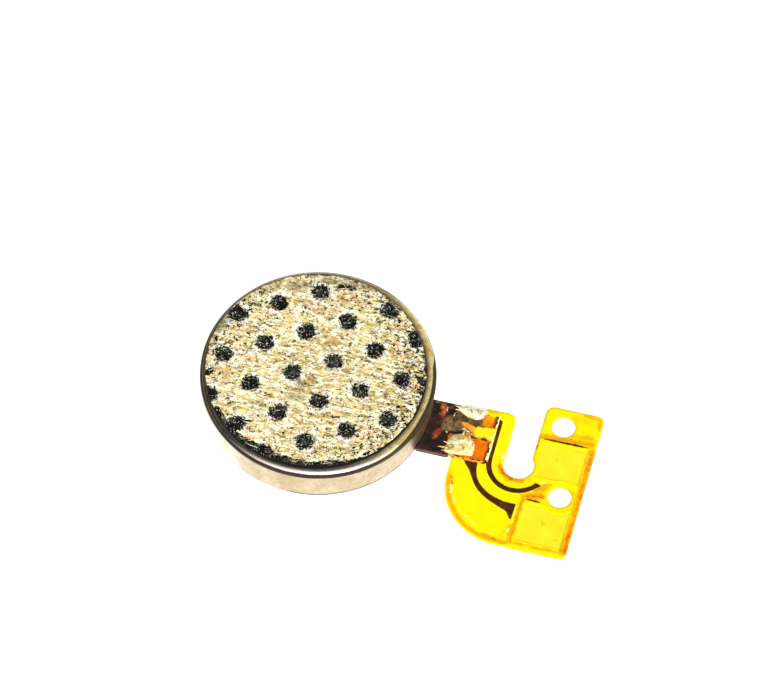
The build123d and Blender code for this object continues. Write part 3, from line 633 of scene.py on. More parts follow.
# ------------------------------------------------------------------ case
AROUND = 288                           # points round the lid and the cup
LID_SHEET, CUP_SHEET, FLOOR_SHEET = 0.12, 0.12, 0.15
SHOULDER_RADIUS, SHOULDER_WIDTH, LIP_ROUND, HEEL_RADIUS, RIM_ROUND = 0.26, 0.44, 0.05, 0.08, 0.02
COLLAR_RADIUS, COLLAR_TOP = 0.62, 0.80
NOTCH_GAP, NOTCH_X = 0.06, (2.0, 6.5)  # the cup is cut away round the tail
TONGUE_START, TONGUE_CORNER, TONGUE_EDGE = 4.60, 0.10, 0.02
lid_low, lid_high = box_mm("upper_case")
cup_high = box_mm("lower_case")[1]
shaft_radius = box_mm("shaft")[1][0]
lid_radius, lid_top, lip_bottom = lid_high[1], lid_high[2], lid_low[2]
cup_radius, cup_rim = cup_high[1], cup_high[2]
TAIL_LOW, TAIL_HIGH = -1.60, 0.90
tail_end, tail_top = (box_mm("tail_flex_coverlay")[1][i] for i in (0, 2))


def make_lid():
    """The lid: a flat top, an elliptical shoulder and a short lip."""
    inner, inner_radius = lid_radius - LID_SHEET, SHOULDER_RADIUS - LID_SHEET
    ceiling = lid_top - LID_SHEET
    profile = [(shaft_radius, lid_top)]
    for r, z in round_off((0, lid_top - SHOULDER_RADIUS), SHOULDER_RADIUS, 90, 0, 18):
        profile.append((lid_radius - SHOULDER_WIDTH + r * SHOULDER_WIDTH / SHOULDER_RADIUS, z))
    profile += round_off((lid_radius - LIP_ROUND, lip_bottom + LIP_ROUND), LIP_ROUND, 0, -90, 6)
    profile += [(inner, lip_bottom)]
    profile += round_off((inner - inner_radius, ceiling - inner_radius), inner_radius, 0, 90, 8)
    profile += [(shaft_radius, ceiling)]
    points, faces = lathe(profile[::-1], AROUND)
    lid = make_piece("lid", points, faces, paints["lid_steel"])
    belongs(lid, "motor", "lid_steel", "upper_case")


def solid_box(name, x0, x1, y0, y1, z0, z1):
    points = [(x, y, z) for x in (x0, x1) for y in (y0, y1) for z in (z0, z1)]
    faces = [(0, 1, 3, 2), (4, 6, 7, 5), (0, 4, 5, 1), (2, 3, 7, 6), (0, 2, 6, 4), (1, 5, 7, 3)]
    return make_piece(name, points, faces)


def make_cup():
    """The cup, notched for the tail, and its tongue with rounded corners."""
    inner = cup_radius - CUP_SHEET
    profile = [(shaft_radius, 0.0)]
    profile += round_off((cup_radius - HEEL_RADIUS, HEEL_RADIUS), HEEL_RADIUS, -90, 0, 6)
    profile += round_off((cup_radius - RIM_ROUND, cup_rim - RIM_ROUND), RIM_ROUND, 0, 90, 3)
    profile += [(inner, cup_rim), (inner, FLOOR_SHEET), (COLLAR_RADIUS, FLOOR_SHEET)]
    profile += [(COLLAR_RADIUS, COLLAR_TOP), (shaft_radius, COLLAR_TOP)]
    points, faces = lathe(profile, AROUND)
    cup = make_piece("cup", points, faces, paints["cup_steel"])
    notch = solid_box("notch", *NOTCH_X, TAIL_LOW - NOTCH_GAP, TAIL_HIGH + NOTCH_GAP, FLOOR_SHEET,
                      tail_top + NOTCH_GAP)
    cut = cup.modifiers.new("notch", "BOOLEAN")
    cut.object, cut.operation, cut.solver = notch, "DIFFERENCE", "EXACT"
    bpy.context.view_layer.update()
    cup.data = bpy.data.meshes.new_from_object(cup.evaluated_get(bpy.context.evaluated_depsgraph_get()))
    cup.modifiers.clear()
    cup.data.set_sharp_from_angle(angle=math.radians(SHARP))
    bpy.data.objects.remove(notch)
    belongs(cup, "motor", "cup_steel", "lower_case")
    outline = rectangle(TONGUE_START, cup_high[0], TAIL_LOW, TAIL_HIGH, TONGUE_CORNER, 0.08)
    points, faces, _ = film(outline, [], [], 0.2, 3, eased(FLOOR_SHEET - 0.001, TONGUE_EDGE, -0.01, 0.03),
                            eased(0.001, -TONGUE_EDGE, -0.01, 0.03))
    belongs(make_piece("tongue", points, faces, paints["cup_steel"]), "motor", "cup_steel")


make_lid()
make_cup()

# ------------------------------------------------------------------ pad
DIMPLE_RADIUS, DIMPLE_EDGE = 0.40, 0.02
DIMPLE_COLUMN, DIMPLE_ROW, DIMPLE_START, DIMPLE_TURN = 1.515, 2.04, (0.47, 0.66), -2.9
cloth_low, cloth_high = box_mm("pad_cloth")
glue_low, glue_high = box_mm("pad_adhesive")
cloth_centre = ((cloth_low[0] + cloth_high[0]) / 2, (cloth_low[1] + cloth_high[1]) / 2)
cloth_radius = (cloth_high[0] - cloth_low[0]) / 2
CLOTH_FACE = cloth_high[2] - 0.024     # mean height of the cloth between fibres
CLOTH_RINGS, CLOTH_SPOKES, CLOTH_ROUND = 104, 640, 0.07
GLUE_POINTS, GLUE_WANDER = 420, 0.022  # round the adhesive's edge, which goes in and out by this much
FIBRES, FIBRE_STEP, DIMPLE_FIBRES = 1050, 0.07, 4
# Where the cloth's edge has most grit: the way round in degrees, how widely, and how much.
GRIT = ((15, 28, 1.0), (160, 22, 1.0), (75, 30, 0.7), (-50, 25, 0.6))
DARKEST_WAY, DARKEST_SPREAD = -95, 42        # its edge is darkest this way round


def dimple_places():
    """Centres of the dimples, on the same lattice as in the CAD source."""
    turn, found = math.radians(DIMPLE_TURN), []
    for column in range(-5, 5):
        for row in range(-4, 4):
            x = DIMPLE_START[0] + column * DIMPLE_COLUMN
            y = DIMPLE_START[1] + (row + 0.5 * (column % 2)) * DIMPLE_ROW
            place = (x * math.cos(turn) - y * math.sin(turn), x * math.sin(turn) + y * math.cos(turn))
            if math.dist(place, cloth_centre) < cloth_radius - DIMPLE_EDGE:
                found.append(place)
    return found


DIMPLES = dimple_places()
# Every mark below is a line from x, y to x, y with a radius and a strength.
BLACK_PATCHES = [                         # black patches on the cloth, many of them along its front edge
    (-3.75, -2.95, -3.25, -3.45, 0.34, 0.80), (-3.25, -3.45, -2.30, -4.02, 0.24, 0.72),
    (-2.30, -4.02, -1.00, -4.38, 0.26, 0.74), (-1.00, -4.38, 0.60, -4.46, 0.15, 0.66),
    (0.60, -4.46, 2.20, -3.96, 0.12, 0.62), (2.90, -3.45, 3.05, -3.30, 0.14, 0.62),
    (-4.35, -1.05, -4.50, -1.25, 0.20, 0.74), (-4.30, -1.40, -4.05, -1.38, 0.08, 0.70),
    (-0.10, 4.22, 0.45, 4.26, 0.17, 0.82), (4.25, 0.72, 4.42, 0.55, 0.24, 0.74),
    (4.36, 0.10, 4.46, 0.05, 0.18, 0.66), (-3.60, -1.50, -3.30, -1.46, 0.07, 0.62),
    (-2.35, -3.08, -2.10, -3.04, 0.08, 0.66), (1.12, -2.04, 1.42, -1.94, 0.07, 0.62),
    (-1.31, 2.92, -1.28, 2.86, 0.10, 0.62), (-1.15, 2.62, -1.12, 2.58, 0.09, 0.60),
    (4.05, 1.95, 4.15, 1.80, 0.14, 0.60), (3.95, -1.55, 3.90, -1.70, 0.14, 0.58),
    (-4.62, 0.55, -4.55, 0.30, 0.14, 0.62)]
SMUDGES = [                            # grey-green stains on the cloth
    (-0.75, -0.62, -0.55, -0.85, 0.24, 1.0), (-0.80, -1.45, -0.35, -1.40, 0.26, 0.9),
    (-2.20, 3.70, -1.45, 3.95, 0.32, 0.9), (-4.65, 1.00, -4.15, 1.95, 0.28, 1.0),
    (-3.30, 3.10, -2.70, 3.60, 0.22, 0.6), (-0.90, 4.40, 1.20, 4.45, 0.22, 0.75),
    (1.60, 4.15, 2.60, 3.75, 0.18, 0.55), (4.10, 1.95, 4.30, 1.40, 0.18, 0.6), (3.90, -1.70, 3.60, -2.40, 0.18, 0.5)]


def near_dimple(x, y):
    """Distance from the nearest dimple's centre, in dimple radii."""
    return min(math.hypot(x - a, y - b) for a, b in DIMPLES) / DIMPLE_RADIUS


def cloth_height(x, y):
    """Height of the cloth's face: short ridges along its grain, fine lumps, and ragged dimples."""
    ridge = waves(x, y, ((0.008, 1.5, 5.5, 0), (0.005, 4.5, 12, 5), (0.003, 16, 16, 9)))
    d = waves(x, y, ((0.30, 4, 4, 3), (0.16, 11, 11, 4)), near_dimple(x, y))
    depth = 1 - float(smooth(d, 0.80, 1.06))
    pits = 0.012 * noise_at(x * 9, y * 9, 7)
    return CLOTH_FACE + ridge * (1 - depth) - depth * (0.026 - pits)


def make_cloth():
    """Rings of points on spokes, out to a ragged edge, with a flat underside."""
    points, faces, n = [], [], CLOTH_RINGS + 2
    for j in range(CLOTH_SPOKES):
        turn = 2 * math.pi * j / CLOTH_SPOKES
        reach = cloth_radius + waves(*polar((0, 0), 1, turn), ((0.045, 9, 9, 2), (0.030, 34, 34, 8)))
        for i in range(CLOTH_RINGS + 1):
            r = reach * (i + 0.5) / (CLOTH_RINGS + 0.5)
            x, y = polar(cloth_centre, r, turn)
            points.append((x, y, cloth_height(x, y) - 0.022 * float(smooth(r, reach - CLOTH_ROUND, reach))))
        points.append((x, y, cloth_low[2]))
    middle = len(points)
    points += [(*cloth_centre, cloth_height(*cloth_centre)), (*cloth_centre, cloth_low[2])]
    for j in range(CLOTH_SPOKES):
        here, after = j * n, (j + 1) % CLOTH_SPOKES * n
        faces += [(here + i, here + i + 1, after + i + 1, after + i) for i in range(n - 1)]
    for j in range(CLOTH_SPOKES):
        here, after = j * n, (j + 1) % CLOTH_SPOKES * n
        faces += [(middle, here, after), (middle + 1, after + n - 1, here + n - 1)]
    places = np.array(points)
    out = np.hypot(places[:, 0] - cloth_centre[0], places[:, 1] - cloth_centre[1])
    round_way = np.degrees(np.arctan2(places[:, 1], places[:, 0]))
    low = np.exp(-((round_way - DARKEST_WAY) / DARKEST_SPREAD) ** 2)
    rim = smooth((out - cloth_radius) / (0.07 + 0.20 * low), -1.0, -0.2) * (0.45 + 0.35 * low)
    gritty = sum(np.exp(-((round_way - way + 180) % 360 - 180) ** 2 / (2 * spread ** 2)) * size
                 for way, spread, size in GRIT)
    cloth = make_piece("pad_cloth_face", points, faces, paints["pad_cloth"], {
        "dimple": [near_dimple(x, y) for x, y, _ in points], "smudge": capsules(places, SMUDGES, 0.0, 1.5),
        "tone_patch": np.maximum(rim, capsules(places, BLACK_PATCHES)), "grit": gritty * smooth(out, 2.6, 4.4)}, sharp=70)
    belongs(cloth, "motor", "pad_cloth", "pad_cloth")


def make_glue():
    """The black adhesive under the cloth, with a slightly wandering edge."""
    radius = (glue_high[1] - glue_low[1]) / 2
    centre = ((glue_low[0] + glue_high[0]) / 2, (glue_low[1] + glue_high[1]) / 2)
    outline = []
    for j in range(GLUE_POINTS):
        turn = 2 * math.pi * j / GLUE_POINTS
        outline.append(polar(centre, radius - 0.025 + GLUE_WANDER * noise_at(*polar((0, 0), 7, turn), 6), turn))
    points, faces, _ = film(outline, [], [], 0.35, 5, eased(glue_high[2] - 0.001, 0.012, -0.01, 0.05),
                            level(glue_low[2] + 0.0005))
    glue = make_piece("pad_glue", points, faces, paints["black_adhesive"])
    belongs(glue, "motor", "black_adhesive", "pad_adhesive")


def tube(points, faces, places, acrosses, sizes, sides, twist=0.0, flat=1.0):
    """Adds a closed tube along a line of places, with its own direction across and half width at each."""
    start = len(points)
    for place, across, size in zip(places, acrosses, sizes):
        for s in range(sides):
            turn = 2 * math.pi * (s + twist) / sides
            offset = across * math.cos(turn) * size + Vector((0, 0, flat * size * math.sin(turn)))
            points.append(tuple(place + offset))
    for k in range(len(places) - 1):
        for s in range(sides):
            a, b = start + k * sides + s, start + k * sides + (s + 1) % sides
            faces.append((a, b, b + sides, a + sides))
    end = start + (len(places) - 1) * sides
    faces.append(tuple(range(start + sides - 1, start - 1, -1)))
    faces.append(tuple(range(end, end + sides)))


def strand(path, radius, points, faces, tones, tone):
    """Adds one fibre: a four-sided tube that tapers at both ends."""
    last, acrosses, sizes = len(path) - 1, [], []
    for k in range(last + 1):
        ahead = path[min(k + 1, last)] - path[max(k - 1, 0)]
        acrosses.append(Vector((-ahead.y, ahead.x, 0)).normalized())
        sizes.append(radius * (0.45 if k in (0, last) else 1.0))
    tube(points, faces, path, acrosses, sizes, 4, 0.5)
    tones += [tone] * (4 * len(path))


def make_fibres():
    """Loose fibres that lie on the cloth, mostly along its grain, and stop at the pressed dimples."""
    draw = random.Random(11)
    points, faces, tones = [], [], []
    for _ in range(FIBRES):
        turn, r = draw.uniform(0, 2 * math.pi), (cloth_radius - 0.06) * math.sqrt(draw.random())
        x, y = polar(cloth_centre, r, turn)
        way = draw.gauss(0, 0.40) if draw.random() < 0.8 else draw.uniform(0, math.pi)
        if draw.random() < 0.5:
            way += math.pi
        bend, length, radius = draw.gauss(0, 0.9), draw.uniform(0.25, 1.15), draw.uniform(0.006, 0.013)
        path, stop_at = [], draw.uniform(0.60, 1.06)
        for _ in range(int(length / FIBRE_STEP) + 1):
            if math.dist((x, y), cloth_centre) > cloth_radius - 0.05 or near_dimple(x, y) < stop_at:
                break
            path.append(Vector((x, y, min(cloth_height(x, y) + radius * 0.6, cloth_high[2] - radius))))
            way += bend * FIBRE_STEP + draw.gauss(0, 0.10)
            x, y = polar((x, y), FIBRE_STEP, way)
        if len(path) > 2:
            strand(path, radius, points, faces, tones, draw.random())
    for dimple in DIMPLES:
        for _ in range(DIMPLE_FIBRES):
            turn, r, way = draw.uniform(0, 2 * math.pi), 0.30 * math.sqrt(draw.random()), draw.uniform(0, math.pi)
            start = polar(dimple, r, turn)
            if math.dist(start, cloth_centre) > cloth_radius - 0.12:
                continue
            path = [Vector((*polar(start, 0.03 * k, way), 0)) for k in range(4)]
            for place in path:
                place.z = cloth_height(place.x, place.y) + 0.006
            strand(path, draw.uniform(0.006, 0.012), points, faces, tones, draw.uniform(0.5, 1.0))
    belongs(make_piece("pad_fibres", points, faces, fibre_material, {"tone": tones}, sharp=100), "motor", "pad_cloth")


make_cloth()
make_glue()
make_fibres()

# ------------------------------------------------------------------ lead flex
FLEX_LEFT, FLEX_TOP, ARM_RIGHT = 6.20, 1.10, 8.40
SLOT_RADIUS, SLOT_Y, LEG_LEFT, LEG_RIGHT, LEG_TOP, LEG_BOTTOM = 0.65, -1.25, 9.53, 12.03, 1.87, -5.23
CURVE_RADIUS, ARM_CORNER, LEG_INNER_CORNER, LEG_CORNER = 2.80, 0.35, 0.40, 0.30
HOLE_RADIUS, HOLES = 0.50, ((10.43, 1.01), (11.10, -2.35))
SLOT_CENTRE = (ARM_RIGHT + SLOT_RADIUS, SLOT_Y)
PAD_X, UPPER_Y, LOWER_Y = (9.66, 11.78), (-1.70, 0.18), (-4.90, -2.88)
PAD_HOLE_CLEARANCE, PAD_SLOT_CLEARANCE, WINDOW_LAP, WINDOW_CORNER = 0.24, 0.08, 0.06, 0.05
BITES = ((HOLES[1], HOLE_RADIUS + PAD_HOLE_CLEARANCE), (SLOT_CENTRE, SLOT_RADIUS + PAD_SLOT_CLEARANCE))
film_bottom = box_mm("lead_flex_film_arm")[0][2]
flex_top = box_mm("lead_flex_coverlay_arm")[1][2]
copper_top = box_mm("contact_pad_upper")[1][2]
COVER_DROP, TRACE_SOFT = 0.012, 0.05   # how much lower the coverlay lies beside copper, and over what distance


def flex_outline():
    """The whole J, counterclockwise."""
    lip = math.sqrt(SLOT_RADIUS ** 2 - (LEG_LEFT - SLOT_CENTRE[0]) ** 2)
    lip_angle = math.degrees(math.atan2(lip, LEG_LEFT - SLOT_CENTRE[0]))
    line = []
    for x, y, radius, start, end in (
            (FLEX_LEFT + CURVE_RADIUS, LEG_BOTTOM + CURVE_RADIUS, CURVE_RADIUS, 180, 270),
            (LEG_RIGHT - LEG_CORNER, LEG_BOTTOM + LEG_CORNER, LEG_CORNER, 270, 360),
            (LEG_RIGHT - LEG_CORNER, LEG_TOP - LEG_CORNER, LEG_CORNER, 0, 90),
            (LEG_LEFT + LEG_INNER_CORNER, LEG_TOP - LEG_INNER_CORNER, LEG_INNER_CORNER, 90, 180),
            (*SLOT_CENTRE, SLOT_RADIUS, lip_angle, -180),
            (ARM_RIGHT - ARM_CORNER, FLEX_TOP - ARM_CORNER, ARM_CORNER, 0, 90)):
        line += arc((x, y), radius, start, end)
    return divide(line + [(FLEX_LEFT, FLEX_TOP)])


def circle(centre, radius, step=0.05):
    return arc(centre, radius, 0, 360, step)[:-1]


def window(y_range, inset=0.0):
    """Outline of one contact's rectangle, and the circles that bite into it."""
    line = rectangle(PAD_X[0] + inset, PAD_X[1] - inset, y_range[0] + inset, y_range[1] - inset, WINDOW_CORNER)
    return line, [circle(centre, radius + inset) for centre, radius in BITES]


def in_rectangle(plan, x0, x1, y0, y1, inset):
    """How far each point lies inside a rectangle; outside it the number is negative."""
    x, y = plan[:, 0], plan[:, 1]
    return np.minimum.reduce([x - x0 - inset, x1 - inset - x, y - y0 - inset, y1 - inset - y])


def in_window(plan, y_range, inset):
    """How far each point lies inside one contact's window, with the bites taken out of it."""
    found = in_rectangle(plan, *PAD_X, *y_range, inset)
    for centre, radius in BITES:
        found = np.minimum(found, np.hypot(plan[:, 0] - centre[0], plan[:, 1] - centre[1]) - (radius + inset))
    return found


def curve_through(points, step=0.05):
    """A smooth line through points."""
    p = [np.array(q, float) for q in (points[0], *points, points[-1])]
    p[0], p[-1] = 2 * p[1] - p[2], 2 * p[-2] - p[-3]
    line = []
    for a, b, c, d in zip(p, p[1:], p[2:], p[3:]):
        count = max(2, int(np.linalg.norm(c - b) / step))
        for i in range(count):
            t = i / count
            line.append(tuple(0.5 * (2 * b + (c - a) * t + (2 * a - 5 * b + 4 * c - d) * t * t
                                     + (3 * b - a - 3 * c + d) * t ** 3)))
    return line + [tuple(p[-2])]


TRACE_CENTRE, FAR_RADIUS, FAR_WIDTH, FAR_TURN = (9.03, -1.27), 1.25, 0.27, 318
NEAR_INNER = ((7.36, -1.35), (7.40, -1.95), (7.56, -2.36), (7.90, -2.72), (8.40, -2.99), (8.90, -3.11))
NEAR_OUTER = ((9.05, -3.60), (8.55, -3.39), (7.95, -3.11), (7.48, -2.70), (7.08, -2.06), (6.80, -1.74), (6.62, -1.45))


def far_trace():
    """Down the arm from under the tail's end, round the slot, and out to the upper contact."""
    half = FAR_WIDTH / 2
    left, right = TRACE_CENTRE[0] - FAR_RADIUS - half, TRACE_CENTRE[0] - FAR_RADIUS + half
    outer = arc(TRACE_CENTRE, FAR_RADIUS + half, 180, FAR_TURN)
    inner = arc(TRACE_CENTRE, FAR_RADIUS - half, FAR_TURN, 180)
    end, start = outer[-1], inner[0]
    tip = (end[0] + 0.20, end[1] + 0.14)
    line = [(left, 0.42), *outer, tip, (tip[0] - 0.10, tip[1] + 0.10), (start[0] + 0.06, start[1] + 0.10), *inner]
    line += arc((right - 0.16, 0.54), 0.16, 0, 90) + [(left, 0.70)]
    return divide(line)


def near_trace():
    """From the near land round outside the other trace, widening in a flare to the stiffener's edge."""
    return divide(curve_through(NEAR_INNER) + [(9.36, -3.12), (9.42, -3.14), (9.38, -4.02), (9.30, -3.94)]
                  + curve_through(NEAR_OUTER))


def trace_mask(plan, loop):
    """1 well inside the loop, 0 outside it, smooth over a short distance at its edge."""
    d = distance(plan, loop) * np.where(inside(plan, loop), 1, -1)
    return smooth(d, -TRACE_SOFT, TRACE_SOFT * 0.3)


def cover_top(plan, edge):
    """Height of the flex's face: lower between traces, down to the copper in the windows, rounded at the edge."""
    copper = np.maximum(trace_mask(plan, far_trace()), trace_mask(plan, near_trace()))
    for y_range in (UPPER_Y, LOWER_Y):
        copper = np.maximum(copper, smooth(in_window(plan, y_range, 0.0), -0.10, 0.0))
    lumps = np.array([waves(x, y, ((0.0035, 1.6, 1.6, 1), (0.0012, 5, 5, 2))) for x, y in plan])
    z = flex_top - 0.004 - COVER_DROP * (1 - copper) + np.minimum(lumps, 0.003)
    z = z - 0.028 * (1 - smooth(edge, -0.005, 0.07))
    for y_range in (UPPER_Y, LOWER_Y):
        z = np.where(in_window(plan, y_range, WINDOW_LAP) > 0.002, copper_top - 0.016, z)
    return z


ORANGE_MARKS = [                       # painted shade in amber and red along the flex's edges and round its slot, holes and windows, with a few stains
    (8.42, -1.72, 8.74, -2.08, 0.11, 0.75), (8.27, -1.50, 8.45, -1.78, 0.13, 1.20),
    (8.45, -1.78, 8.90, -1.99, 0.12, 1.25), (8.90, -1.99, 9.35, -2.02, 0.11, 0.85),
    (9.35, -2.02, 9.70, -1.80, 0.08, 0.35), (8.24, -1.05, 8.27, -1.50, 0.07, 0.35),
    (9.58, 0.33, 11.80, 0.46, 0.15, 0.90), (10.95, 0.66, 11.72, 0.74, 0.13, 0.62),
    (11.30, 0.95, 11.60, 0.88, 0.08, 0.35), (11.20, 1.76, 11.80, 1.70, 0.10, 0.80),
    (11.89, 1.60, 11.93, 1.25, 0.09, 0.85), (11.90, 0.62, 11.93, 0.50, 0.07, 0.4),
    (11.93, 0.10, 11.94, -4.90, 0.20, 1.05), (11.84, -4.30, 11.86, -4.95, 0.16, 0.95),
    (11.90, -2.2, 11.92, -1.6, 0.12, 1.0), (9.60, -2.80, 9.58, -4.95, 0.10, 0.92),
    (9.45, -4.15, 9.47, -5.0, 0.10, 0.6), (9.75, -4.97, 11.70, -4.97, 0.07, 0.75),
    (9.75, -2.64, 10.35, -2.50, 0.17, 1.05), (10.02, -2.28, 10.40, -2.02, 0.15, 0.95),
    (10.35, -1.98, 10.62, -1.86, 0.08, 0.6), (9.45, -2.60, 9.75, -2.72, 0.12, 0.55),
    (8.35, -4.94, 9.35, -5.06, 0.12, 0.85), (9.10, -4.80, 9.35, -4.30, 0.12, 0.35),
    (9.60, 0.20, 9.60, -1.20, 0.05, 0.5), (11.55, -1.98, 11.75, -2.3, 0.10, 0.4),
    (6.50, -2.55, 6.55, -2.85, 0.06, 0.7), (10.80, 1.42, 11.50, 1.56, 0.22, 0.36)]
GLINT_MARKS = [                         # painted glints on the flex
    (6.30, 1.02, 6.95, 1.02, 0.13, 1.6), (6.52, -2.90, 6.60, -3.25, 0.05, 0.9),
    (6.72, -3.45, 6.90, -3.72, 0.04, 0.6), (7.33, -4.12, 7.95, -4.55, 0.035, 0.55),
    (8.28, -0.80, 8.28, -1.10, 0.045, 0.9), (9.37, -4.38, 9.38, -4.52, 0.045, 0.9),
    (10.23, -1.88, 10.33, -1.86, 0.05, 0.8), (7.80, -1.10, 7.82, -1.35, 0.05, 0.7),
    (7.36, -1.45, 7.45, -1.40, 0.05, 0.6)]
DARK_MARKS = [                         # specks along the flex's edges
    (9.56, -0.10, 9.55, -0.32, 0.030, 0.9), (9.56, -0.90, 9.57, -1.00, 0.050, 0.9),
    (6.42, -2.48, 6.43, -2.56, 0.035, 0.7), (6.50, -2.70, 6.54, -2.84, 0.035, 0.7),
    (8.80, -4.99, 8.96, -5.02, 0.030, 0.8), (11.83, -2.98, 11.82, -3.08, 0.030, 0.6),
    (9.52, 0.10, 9.53, 0.32, 0.025, 0.6)]
TOUCH_MARKS = {                        # on each contact
    "contact_pad_upper": [(10.53, -0.62, 10.56, -0.66, 0.05, 0.5)],
    "contact_pad_lower": [(10.66, -3.74, 10.76, -3.79, 0.05, 0.7), (11.34, -4.42, 11.48, -4.44, 0.05, 0.45),
                          (10.7, -3.86, 10.72, -3.88, 0.03, 0.4)]}
FLEX_SPACING, EDGE_INSET = 0.055, 0.025
LEFT_BAND, BAND_OUT, BAND_IN = 9.35, 0.07, 0.30    # painted shade: an amber band inside the bend's outer edge


def flex_numbers(points):
    """What the flex's paint needs at each vertex."""
    plan = points[:, :2]
    outer = distance(plan, flex_outline())
    # Painted shade in amber along the bend's outer edge, round the leg's rim and round the holes.
    bend = (plan[:, 0] < LEFT_BAND) & (plan[:, 1] < -1.9) & (plan[:, 1] < -0.9 * (plan[:, 0] - 5.2))
    edge_shade = smooth(outer, BAND_OUT - 0.05, BAND_OUT + 0.03) * (1 - smooth(outer, BAND_IN - 0.10, BAND_IN + 0.04))
    fade = smooth(-plan[:, 1], 1.9, 2.7)
    amber = np.where(bend, 0.62 * edge_shade * fade, 0.0)
    leg_rim_shade = (plan[:, 0] > 9.5) * (1 - smooth(outer, 0.03, 0.16))
    amber = np.maximum(amber, 0.30 * leg_rim_shade)
    for hole in HOLES:
        near = np.hypot(plan[:, 0] - hole[0], plan[:, 1] - hole[1]) - HOLE_RADIUS
        amber = np.maximum(amber, 0.34 * (1 - smooth(near, 0.02, 0.16)))
    under = smooth(-points[:, 2], -(film_bottom + 0.03), -(film_bottom + 0.005))
    marks = capsules(plan, ORANGE_MARKS, 0.0, 1.6, 0.07)
    return {"rest": points, "amber": np.maximum(np.maximum(amber, marks), 0.6 * under),
            "pale_glint": capsules(plan, GLINT_MARKS, 0.0, 1.4, 0.05), "dark": capsules(plan, DARK_MARKS)}


def bends(piece, slot, *nodes):
    """Hides the CAD nodes that a piece of the flex stands in for, and bakes its place into its mesh. slot is not
    used.
    """
    if nodes:
        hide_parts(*nodes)
    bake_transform(piece)


def make_flex():
    """The cover and film as one sheet with holes and windows, and the two traces that show through it."""
    holes = [circle(hole, HOLE_RADIUS) for hole in HOLES]
    lines = [offset_loop(flex_outline(), EDGE_INSET), far_trace(), near_trace()]
    lines += [circle(hole, HOLE_RADIUS + EDGE_INSET) for hole in HOLES]
    for y_range in (UPPER_Y, LOWER_Y):
        for inset in (WINDOW_LAP, WINDOW_LAP + 0.012):
            line, bites = window(y_range, inset)
            lines += [line, *bites]
    points, faces, _ = film(flex_outline(), holes, lines, FLEX_SPACING, 21, cover_top,
                            eased(film_bottom + 0.0005, -0.008, -0.005, 0.03))
    sheet = make_piece("lead_flex_cover", points, faces, paints["lead_coverlay"], flex_numbers(points),
                       sharp=FLEX_SHARP)
    bends(sheet, "lead_coverlay", "lead_flex_film_arm", "lead_flex_film_leg", "lead_flex_coverlay_arm",
          "lead_flex_coverlay_leg")
    for name, loop, nodes in (("trace_far", far_trace(), ["lead_flex_traces"]), ("trace_near", near_trace(), [])):
        points, faces, edge = film(loop, [], [], FLEX_SPACING, 22, eased(flex_top + 0.004, 0.014, -0.01, 0.06),
                                   level(flex_top - 0.03))
        trace = make_piece(name, points, faces, paints["trace_copper"], {"rest": points, "edge": edge},
                           sharp=FLEX_SHARP)
        bends(trace, "trace_copper", *nodes)


def make_contacts():
    """The two plated contacts, which show in the cover's windows."""
    def top(plan, edge):
        waved = np.array([0.0012 * noise_at(x * 2, y * 2, 3) for x, y in plan])
        return eased(copper_top - 0.001, 0.012, -0.01, 0.10)(plan, edge) + waved

    for node, y_range in (("contact_pad_upper", UPPER_Y), ("contact_pad_lower", LOWER_Y)):
        line, bites = window(y_range)
        points, faces, _ = film(line, bites, [], 0.08, 23, top, level(copper_top - 0.028))
        numbers = {"edge": in_window(points, y_range, WINDOW_LAP), "dark": capsules(points, TOUCH_MARKS[node])}
        pad = make_piece(node + "_plated", points, faces, paints["gold_contact"], numbers)
        belongs(pad, "contact_leg", "gold_contact", node)


def make_window_shadows():
    """Thin dark beads along the top edge of each contact's window: painted shadow where the cover's edge shades the
    contact.
    """
    for name, x0, x1, y, slope, thick in (("window_shadow_upper", 9.74, 11.70, 0.235, 0.010, 0.050),
                                          ("window_shadow_lower", 9.76, 10.37, -2.79, -0.02, 0.046)):
        low, high = [], []
        count = int((x1 - x0) / 0.04)
        for i in range(count + 1):
            x = x0 + (x1 - x0) * i / count
            taper = min(1.0, 0.25 + 4.0 * min(i, count - i) / count)
            half = thick * (0.75 + 0.9 * abs(noise_at(x * 3.1, 1.0))) * taper
            middle = y + slope * (x - x0) + 0.012 * noise_at(x * 2.3, 4.0)
            low.append((x, middle - half))
            high.append((x, middle + half))
        points, faces, _ = film(low + high[::-1], [], [], 0.04, 24,
                                lambda plan, edge: flex_top - 0.004 + 0.5 * np.minimum(edge, 0.02),
                                level(flex_top - 0.03))
        belongs(make_piece(name, points, faces, window_shadow_material), "contact_leg", "lead_coverlay")


make_flex()
make_contacts()
make_window_shadows()

# ------------------------------------------------------------------ tail flex and its solder
TAIL_CORNER, TAIL_HEAD_RADIUS, TAIL_HEAD_BORE, LAND_MARGIN = 0.22, 1.85, 0.66, 0.04
NEAR_LAND, FAR_LAND = (5.58, 7.66, -1.54, -0.48), (5.80, 7.68, 0.10, 0.76)
